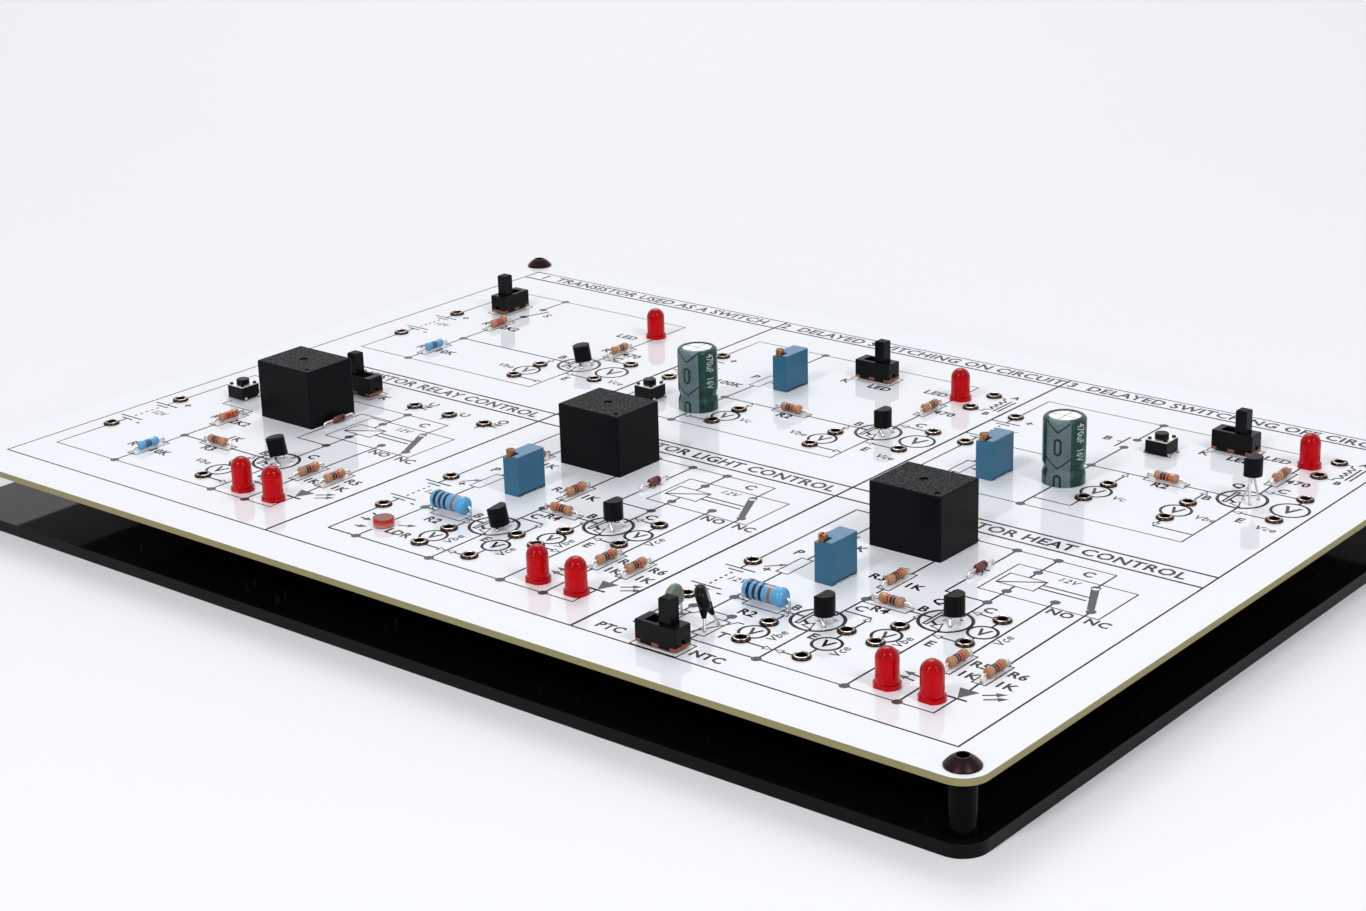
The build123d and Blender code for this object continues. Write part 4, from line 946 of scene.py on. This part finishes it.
# Circuits 5 and 6 share their right hand side
def driverStage(shiftX, shiftY, tags):
    def at(x, y):
        return x + shiftX, y + shiftY

    for x, y in ((139.0, 33.0), (161.0, 48.2)):
        transistorSign(*at(x, y))
    line(at(140.6, 27.2), at(140.6, 9.8))
    line(at(140.6, 38.8), at(140.6, 54.7))
    line(at(140.6, 65.5), at(140.6, 90.5))
    line(at(140.6, 48.2), at(141.1, 48.2))
    line(at(151.9, 48.2), at(155.2, 48.2))
    line(at(162.6, 54.0), at(162.6, 72.5))
    line(at(162.6, 78.3), at(162.6, 90.5))
    line(at(162.6, 42.4), at(162.6, 9.8))
    line(at(151.9, 61.7), at(162.6, 61.7))
    line(at(151.9, 61.7), at(151.9, 69.8))
    line(at(151.9, 80.4), at(151.9, 90.5))
    loop(at(150.3, 73.6), at(153.5, 73.6), at(151.9, 76.6))
    line(at(150.3, 76.8), at(153.5, 76.8))
    line(at(107.8, 90.5), at(177.3, 90.5), at(177.3, 81.7))
    line(at(107.8, 9.8), at(183.8, 9.8), at(183.8, 18.0))
    relaySign(*at(156.5, 67.3))
    resistorSign(*at(140.4, 60.1), True, "R3", "1K")
    resistorSign(*at(146.5, 48.2), False, "R4")
    resistorSign(*at(174.8, 31.6), True, length=10.4)
    resistorSign(*at(183.5, 31.4), True, length=10.6)
    line(at(174.3, 70.0), at(174.6, 36.8))
    line(at(183.0, 70.0), at(183.5, 36.8))
    line(at(175.0, 26.4), at(175.3, 9.8))
    line(at(183.6, 26.1), at(183.8, 22.6))
    ledSign(*at(183.8, 18.1))
    raysSign(*at(169.4, 19.8))
    dot(at(140.6, 9.8), at(162.6, 9.8), at(175.3, 9.8), at(140.6, 48.2), at(162.6, 61.7), at(162.6, 69.3),
        at(162.6, 82.0), at(162.6, 90.5), at(151.9, 90.5), at(140.6, 90.5))
    probe(at(131.8, 25.5), at(131.8, 32.7))
    probe(at(132.0, 15.3), at(140.3, 15.3))
    meter(*at(131.8, 20.3), 3.2, [])
    probe(at(147.6, 31.4), at(147.6, 40.4))
    line(at(147.6, 40.4), at(140.9, 40.4))
    probe(at(147.6, 15.6), at(140.9, 15.6))
    meter(*at(147.8, 24.2), 3.2, [at(147.6, 31.4), at(147.6, 15.6)])
    probe(at(155.0, 39.8), at(155.0, 47.9))
    probe(at(155.4, 29.7), at(162.3, 29.7))
    meter(*at(155.3, 34.8), 3.2, [])
    probe(at(170.6, 55.1), at(162.9, 55.6))
    probe(at(170.7, 40.6), at(162.9, 40.6))
    meter(*at(170.5, 47.7), 3.2, [at(170.6, 55.1), at(170.7, 40.6)])
    for text, x, y in (("Vbe", 138.2, 21.4), ("Vce", 153.4, 22.6), ("Vbe", 161.0, 34.0), ("Vce", 177.4, 46.6)):
        word(text, *at(x, y), 2.4, turn=90, thin=True)
    for text, x, y in (("B", 131.4, 34.4), ("C", 142.8, 42.0), ("E", 143.2, 24.4), ("B", 153.6, 49.6),
                       ("C", 165.4, 57.0), ("E", 164.8, 35.4), ("Q", 154.2, 55.0), ("R5", 179.2, 32.4),
                       ("1K", 179.5, 27.0), ("R6", 188.0, 32.4), ("1K", 188.4, 27.0)):
        word(text, *at(x, y))
    words(*tags)


driverStage(0.0, 0.0, [("P", 113.0, 60.0), ("R1", 112.6, 72.4), ("1K", 122.0, 69.6), ("R2", 124.6, 26.2),
                       ("LDR", 124.0, 15.4)])
supply(107.8, 27.8, 51.0)
line((107.8, 9.8), (107.8, 25.9))
line((107.8, 52.9), (107.8, 90.5))
line((117.0, 90.5), (117.0, 76.9))
line((117.0, 66.1), (117.0, 59.0))
box(115.4, 49.5, 118.6, 59.0)
arrow((111.6, 50.2), (115.3, 54.0), 1.8, True)
line((117.0, 49.5), (117.0, 21.6))
line((117.0, 32.5), (120.6, 32.5))
line((130.2, 32.5), (133.2, 32.9))
box(120.6, 30.6, 130.2, 34.3)
resistorSign(117.0, 71.6, True)
line((117.0, 15.0), (117.0, 9.8))
for start, tip in (((109.6, 22.6), (113.4, 21.2)), ((109.2, 18.9), (113.0, 18.9)), ((111.8, 14.4), (115.0, 15.4)),
                   ((120.4, 20.2), (124.4, 22.4))):
    arrow(start, tip, 2.2, True)
dot((117.0, 90.5), (117.0, 32.5), (117.0, 9.8))

driverStage(93.6, -0.4, [("P", 206.6, 59.6), ("R1", 206.2, 72.0), ("1K", 215.6, 69.2), ("R2", 218.2, 25.8),
                         ("T", 221.2, 13.4), ("PTC", 199.6, 2.9), ("NTC", 225.6, 2.9)])
supply(201.5, 27.3, 50.5)
line((201.5, 9.4), (201.5, 25.4))
line((201.5, 52.4), (201.5, 90.1))
line((210.6, 90.1), (210.6, 76.5))
line((210.6, 65.7), (210.6, 58.6))
box(209.0, 49.1, 212.2, 58.6)
arrow((205.2, 49.8), (208.9, 53.6), 1.8, True)
line((210.6, 49.1), (210.6, 23.5))
line((210.6, 32.2), (214.2, 32.2))
line((223.6, 32.2), (227.0, 32.4))
box(214.2, 30.4, 223.6, 34.0)
resistorSign(210.6, 71.0, True)
line((206.3, 20.4), (206.3, 23.5), (216.8, 23.5), (216.8, 20.9))
line((206.3, 13.9), (206.3, 7.0))
line((216.8, 12.0), (216.8, 7.0))
box(204.6, 13.9, 208.0, 20.4)
box(215.2, 12.0, 218.4, 20.9)
line((203.4, 12.6), (209.4, 21.4), (211.0, 21.4))
line((213.8, 11.0), (219.8, 21.8), (221.4, 21.8))
dot((210.6, 90.1), (210.6, 32.2), (206.3, 23.5), (216.8, 23.5))


def pathPiece(drawing, paths):
    # A mesh of the curve's straight paths, each given with whether it closes
    for points, closes in paths:
        spline = drawing.splines.new("POLY")
        spline.points.add(len(points) - 1)
        for point, (x, y) in zip(spline.points, points):
            point.co = (x, y, 0, 1)
        spline.use_cyclic_u = closes
    piece = bpy.data.objects.new(drawing.name, drawing)
    bpy.context.scene.collection.objects.link(piece)
    return toMesh([piece])


def inkStrokes():
    # Each line is a slim tube, pressed nearly flat once it is a mesh
    made = []
    for weight in strokes:
        drawing = bpy.data.curves.new("strokes_" + weight, "CURVE")
        drawing.dimensions = "3D"
        drawing.bevel_depth = ink[weight] / 2
        drawing.bevel_resolution = 0
        drawing.use_fill_caps = True
        paths = [(path, False) for path in strokes[weight]] + [(path, True) for path in closedStrokes[weight]]
        made.append(pathPiece(drawing, paths))
    piece = joinPieces(made, "printed_lines")
    piece.data.transform(Matrix.Diagonal((1, 1, ink["flatten"], 1)))
    return piece


def inkFills():
    # Filled dots, arrow heads and lamps
    drawing = bpy.data.curves.new("printed_dots", "CURVE")
    drawing.dimensions = "2D"
    drawing.fill_mode = "BOTH"
    drawing.extrude = ink["lift"]
    return pathPiece(drawing, [(path, True) for path in fills])


def inkLetters():
    # Plain lettering: the thin labels lean, the others are a little heavy, as they are printed
    made = []
    for text, x, y, size, turn, thin in letters:
        bpy.ops.object.text_add(location=(x, y, 0), rotation=(0, 0, math.radians(turn)))
        piece = bpy.context.object
        piece.data.body = text
        piece.data.size = size * ink["fullSize"]
        piece.data.align_x = "CENTER"
        piece.data.shear = ink["lean"] if thin else 0.0
        piece.data.offset = ink["thinOffset"] if thin else ink["heavyOffset"]
        piece.data.space_character = ink["spacing"]
        piece.data.resolution_u = 2
        piece.data.extrude = ink["lift"] * ink["letterLift"]
        made.append(piece)
    toMesh(made)
    return joinPieces(made, "printed_letters")


inkBlack, inkGrey = (
    mouldedMaterial(name, ink[shade], ink[shade + "Drift"], roughness=0.16, grain=900.0, bump=0.02,
                    Specular_IOR_Level=0.2)
    for name, shade in (("inkBlack", "colour"), ("inkGrey", "grey")))
for piece, inkMaterial in ((inkStrokes(), inkBlack), (inkFills(), inkGrey), (inkLetters(), inkBlack)):
    settle(piece)
    toMetres = Matrix.Translation(onBoard(0, 0, ink["lift"])) @ Matrix.Scale(mm, 4)
    piece.data.transform(toMetres)
    finishPiece(piece, inkMaterial)
print("drawings printed:", len(letters), "labels")


# Colour bands of the resistors and diodes
bands = {
    "bodyRadius": 1.005,
    "endRadius": 1.10,
    "width": 0.56,
    "tanHeight": 1.3,
    "bigHeight": 3.0,
    "bigRadius": 2.075,
    "bigWidth": 0.8,
    "diodeHeight": 1.1,
    "diodeRadius": 0.965,
    "diodeWidth": 0.55,
    "diodeOffset": 0.75,
    "tanOffsets": (-1.02, -0.22, 0.70),
    "endOffset": 1.78,
    "blueOffsets": (-1.05, -0.60, -0.15, 0.30),
    "blueNarrowing": 0.5,
    "rim": 0.012,
    "colours": {
        "brown": (0.030, 0.008, 0.006), "black": (0.006, 0.005, 0.006), "red": (0.50, 0.008, 0.010),
        "yellow": (0.70, 0.42, 0.03), "violet": (0.09, 0.02, 0.12), "gold": (0.42, 0.24, 0.09),
        "copper": (0.36, 0.15, 0.07),
    },
    "codes": {
        "1K": ("brown", "black", "red"), "2K2": ("red", "red", "red"), "470": ("yellow", "violet", "brown"),
        "10K": ("brown", "black", "black", "brown"),
    },
}
tanResistors = [
    ("2K2", 29.0, 152.0, 90), ("470", 75.5, 152.0, 90), ("1K", 146.5, 138.0, 0), ("470", 174.9, 160.0, 90),
    ("1K", 250.9, 147.8, 0), ("470", 272.1, 164.8, 90), ("2K2", 28.5, 48.9, 90), ("1K", 41.6, 33.8, 0),
    ("1K", 76.8, 32.5, 90), ("1K", 85.8, 32.7, 90), ("1K", 117.0, 71.6, 90), ("1K", 140.4, 60.1, 90),
    ("1K", 146.5, 48.2, 180), ("1K", 174.8, 31.6, 90), ("1K", 183.5, 31.4, 90), ("1K", 210.6, 71.0, 90),
    ("1K", 233.8, 59.6, 90), ("1K", 240.7, 48.2, 180), ("1K", 268.5, 31.2, 90), ("1K", 277.3, 31.5, 90),
]


def bandRing(radius, width):
    # A painted band: a short drum around the X axis whose rims are softened
    pickNone()
    bpy.ops.mesh.primitive_cylinder_add(vertices=24, radius=radius * mm, depth=width * mm,
                                        rotation=(0, math.pi / 2, 0))
    drum = settle(bpy.context.object)
    bpy.ops.object.mode_set(mode="EDIT")
    bpy.ops.mesh.select_all(action="DESELECT")
    bpy.ops.object.mode_set(mode="OBJECT")
    for face in drum.data.polygons:
        face.select = abs(face.normal.x) > 0.9
    bpy.ops.object.mode_set(mode="EDIT")
    bpy.ops.mesh.bevel(offset=bands["rim"] * mm, segments=1, affect="EDGES")
    bpy.ops.object.mode_set(mode="OBJECT")
    bpy.ops.object.shade_smooth_by_angle(angle=math.radians(40))
    return drum


def paintBands():
    waiting = {}
    small = bandRing(bands["bodyRadius"], bands["width"])
    wide = bandRing(bands["endRadius"], bands["width"])
    big = bandRing(bands["bigRadius"], bands["bigWidth"])
    slim = bandRing(bands["diodeRadius"], bands["diodeWidth"])

    def paint(colour, drum, place, offset, scale=(1, 1, 1)):
        shift = Matrix.Translation((offset * mm, 0, 0)) @ Matrix.Diagonal((*scale, 1))
        waiting.setdefault(colour, []).append((drum, place @ shift))

    for code, x, y, turn in tanResistors:
        place = turned(onBoard(x, y, bands["tanHeight"]), turn)
        for colour, offset in zip(bands["codes"][code], bands["tanOffsets"]):
            paint(colour, small, place, offset)
        paint("gold", wide, place, bands["endOffset"])
    for x, y in ((29.3, 124.9), (28.5, 21.9)):
        place = turned(onBoard(x, y, bands["tanHeight"]), 90)
        for colour, offset in zip(bands["codes"]["10K"], bands["blueOffsets"]):
            paint(colour, small, place, offset, (bands["blueNarrowing"], 1, 1))
    for x, y in ((125.4, 32.8), (219.1, 32.3)):
        place = turned(onBoard(x, y, bands["bigHeight"]))
        for colour, offset, scale in (("black", -3.55, 1.045), ("brown", -1.9, 1.0), ("black", -0.3, 1.0),
                                      ("copper", 2.0, 1.0)):
            paint(colour, big, place, offset, (1, scale, scale))
    for x, y in ((54.15, 64.2), (152.15, 75.4), (245.5, 75.2)):
        paint("black", slim, turned(onBoard(x, y, bands["diodeHeight"]), 90), bands["diodeOffset"])
    for colour, jobs in waiting.items():
        made = []
        for master, place in jobs:
            made += copyTo(master, [place])
        piece = joinPieces(made, "bands_" + colour)
        metallic = 0.6 if colour in ("gold", "copper") else 0.0
        finish = mouldedMaterial("band" + colour.capitalize(), bands["colours"][colour], roughness=0.2,
                                 grain=1400.0, Specular_IOR_Level=0.3, Metallic=metallic)
        finishPiece(piece, finish)
    for master in (small, wide, big, slim):
        bpy.data.objects.remove(master)
    return len(waiting)


print("band colours:", paintBands())


# Rating printed down the side of each capacitor
rating = {
    "text": "470uF  16V",
    "size": 3.2,
    "length": 9.6,
    "radius": 5.22,
    "top": 15.9,
    "start": -0.42,          # where the feet of the letters are, in radians
    "thickness": 0.015,
    "colour": (0.40, 0.50, 0.47),
    "strip": 0.25,
    "stripShift": 0.01,
}


def sleeveLetters():
    # Flat lettering cut into narrow strips, then laid round the sleeve
    made = []
    for x, y in capacitors["places"]:
        bpy.ops.object.text_add(location=(0, 0, 0))
        piece = bpy.context.object
        piece.data.body = rating["text"]
        piece.data.size = rating["size"]
        piece.data.offset = 0.03
        piece.data.resolution_u = 2
        piece.data.extrude = rating["thickness"]
        piece = toMesh([piece])
        bpy.ops.object.mode_set(mode="EDIT")
        for i in range(-3, 12):
            level = rating["strip"] * i + rating["stripShift"]
            bpy.ops.mesh.select_all(action="SELECT")
            bpy.ops.mesh.bisect(plane_co=(0, level, 0), plane_no=(0, 1, 0))
        bpy.ops.object.mode_set(mode="OBJECT")
        span = max(vertex.co.x for vertex in piece.data.vertices)
        for vertex in piece.data.vertices:
            angle = rating["start"] + vertex.co.y / rating["radius"]
            reach = rating["radius"] + rating["thickness"] + vertex.co.z
            down = rating["top"] - vertex.co.x * rating["length"] / span
            vertex.co = onBoard(x + reach * math.cos(angle), y + reach * math.sin(angle), down)
        made.append(piece)
    piece = joinPieces(made, "sleeve_letters")
    paint = mouldedMaterial("sleeveInk", rating["colour"], roughness=0.3, grain=2200.0, Specular_IOR_Level=0.3)
    return finishPiece(piece, paint)


print("letters on the sleeves:", len(sleeveLetters().data.polygons), "faces")


# Solder joints under the board, one round each lead
solder = {
    "radius": 0.95,
    "sides": 14,
    "collar": 0.12,
    "steps": [(0.62, 0.28), (0.45, 0.65), (0.36, 1.25)],    # radius at each depth, in mm
    "near": 0.01,
    "leadLevel": 14.0,                                      # leads reach below this
    "spread": 0.9,                                          # points this near are one lead
    "relaySpread": 1.4,
}


def leadPlaces(name, level, spread):
    # Middle of each lead that reaches below this level, found in the part's own mesh
    groups = []
    for vertex in nodes[name].data.vertices:
        if vertex.co.z > level * mm:
            continue
        for group in groups:
            if (group[0] - vertex.co.xy).length < spread * mm:
                group.append(vertex.co.xy.copy())
                break
        else:
            groups.append([vertex.co.xy.copy()])
    return [sum(group, Vector((0, 0))) / len(group) for group in groups]


def solderCone():
    # A ring of solder that climbs the lead in a hollow curve
    pickNone()
    bpy.ops.mesh.primitive_cylinder_add(vertices=solder["sides"], radius=solder["radius"] * mm,
                                        depth=solder["collar"] * mm,
                                        location=(0, 0, -solder["collar"] / 2 * mm))
    cone = settle(bpy.context.object)
    near = solder["near"] * mm
    for radius, depth in solder["steps"]:
        lowest = min(vertex.co.z for vertex in cone.data.vertices)
        for face in cone.data.polygons:
            face.select = face.normal.z < -0.9 and abs(face.center.z - lowest) < near
        bpy.ops.object.mode_set(mode="EDIT")
        bpy.ops.mesh.select_mode(type="FACE")
        bpy.ops.mesh.extrude_region_move(TRANSFORM_OT_translate={"value": (0, 0, -depth * mm - lowest)})
        bpy.ops.object.mode_set(mode="OBJECT")
        lowest = min(vertex.co.z for vertex in cone.data.vertices)
        for vertex in cone.data.vertices:
            if vertex.co.z < lowest + near:
                vertex.co.xy = vertex.co.xy.normalized() * radius * mm
    bpy.ops.object.shade_smooth_by_angle(angle=math.radians(50))
    return cone


def solderBoard():
    places = []
    for name in ("component_leads", "relay_terminals", "slide_switch_terminals", "button_legs", "trimmer_pins"):
        spread = solder["relaySpread"] if name == "relay_terminals" else solder["spread"]
        places += leadPlaces(name, solder["leadLevel"], spread)
    cone = solderCone()
    spots = [Matrix.Translation((place.x, place.y, board["underside"] * mm)) for place in places]
    piece = joinPieces(copyTo(cone, spots), "solder_joints")
    bpy.data.objects.remove(cone)
    finishPiece(piece, finishes["tinned"])
    return len(places)


print("solder joints:", solderBoard())


# Floor, lights and camera
stage = {
    "floor": (0.875, 0.88, 0.90, 1),
    "floorPatch": (0.82, 0.835, 0.87, 1),
    "patchShare": 0.4,
    "floorSize": 24.0,
    "sky": (0.95, 0.97, 1.0, 1),
    "world": 0.38,
    "backdrop": (0.97, 0.98, 1.0, 1),
    "lamps": [
        # place, aim, width and height, power
        ((-0.75, 0.85, 1.5), (-0.45, 0.55, 0.0), (1.0, 1.0), 14.0),
        ((0.03, -1.05, 1.05), (0.0, 0.0, 0.02), (0.20, 0.34), 5.7),
        ((1.02, -0.24, 1.05), (0.0, 0.0, 0.02), (0.20, 0.34), 5.7),
        ((0.03, -1.45, 0.50), (0.0, 0.0, 0.02), (0.14, 0.80), 2.0),
        ((1.42, -0.30, 0.50), (0.0, 0.0, 0.02), (0.14, 0.80), 2.0),
    ],
}


def setFloor():
    pickNone()
    bpy.ops.mesh.primitive_plane_add(size=stage["floorSize"], location=(0, 0, 0))
    floor = bpy.context.object
    floor.name = "floor"
    material, tree, shader = blankMaterial("paleFloor", Roughness=0.85, Specular_IOR_Level=0.1)
    grain = placeNoise(tree, 3.0)
    colour = blendColours(tree, times(tree, grain, stage["patchShare"]), stage["floor"], stage["floorPatch"])
    tree.links.new(colour, shader.inputs["Base Color"])
    floor.data.materials.append(material)


def setWorld():
    world = bpy.data.worlds.new("softRoom")
    bpy.context.scene.world = world
    world.use_nodes = True
    tree = world.node_tree
    plain = tree.nodes["Background"]
    plain.inputs["Color"].default_value = stage["sky"]
    plain.inputs["Strength"].default_value = stage["world"]
    white = tree.nodes.new("ShaderNodeBackground")
    white.inputs["Color"].default_value = stage["backdrop"]
    white.inputs["Strength"].default_value = 1.0
    rays = tree.nodes.new("ShaderNodeLightPath")
    seen = calc(tree, "MAXIMUM", rays.outputs["Is Camera Ray"],
                calc(tree, "MAXIMUM", rays.outputs["Is Glossy Ray"], rays.outputs["Is Transmission Ray"]))
    mix = tree.nodes.new("ShaderNodeMixShader")
    tree.links.new(seen, mix.inputs[0])
    tree.links.new(plain.outputs[0], mix.inputs[1])
    tree.links.new(white.outputs[0], mix.inputs[2])
    tree.links.new(mix.outputs[0], tree.nodes["World Output"].inputs[0])


def setLamps():
    for place, aim, (width, height), power in stage["lamps"]:
        bpy.ops.object.light_add(type="AREA", location=place)
        lamp = bpy.context.object
        lamp.data.shape = "RECTANGLE"
        lamp.data.size = width
        lamp.data.size_y = height
        lamp.data.energy = power
        way = Vector(aim) - Vector(place)
        lamp.rotation_euler = way.to_track_quat("-Z", "Y").to_euler()


view = {
    "place": (0.382734, -0.464900, 0.230464),
    "way": (-0.60235619, 0.72376892, -0.33663863),
    "roll": -1.60,
    "lens": 67.24,
}


def setCamera():
    bpy.ops.object.camera_add(location=view["place"])
    camera = bpy.context.object
    camera.data.lens = view["lens"]
    camera.data.sensor_width = 36.0
    camera.data.clip_start = 0.01
    aim = Vector(view["way"]).to_track_quat("-Z", "Y")
    camera.rotation_euler = (aim @ Quaternion((0, 0, 1), math.radians(view["roll"]))).to_euler()
    bpy.context.scene.camera = camera


setFloor()
setWorld()
setLamps()
setCamera()
bpy.context.scene.view_settings.view_transform = "Standard"
print("stage set")
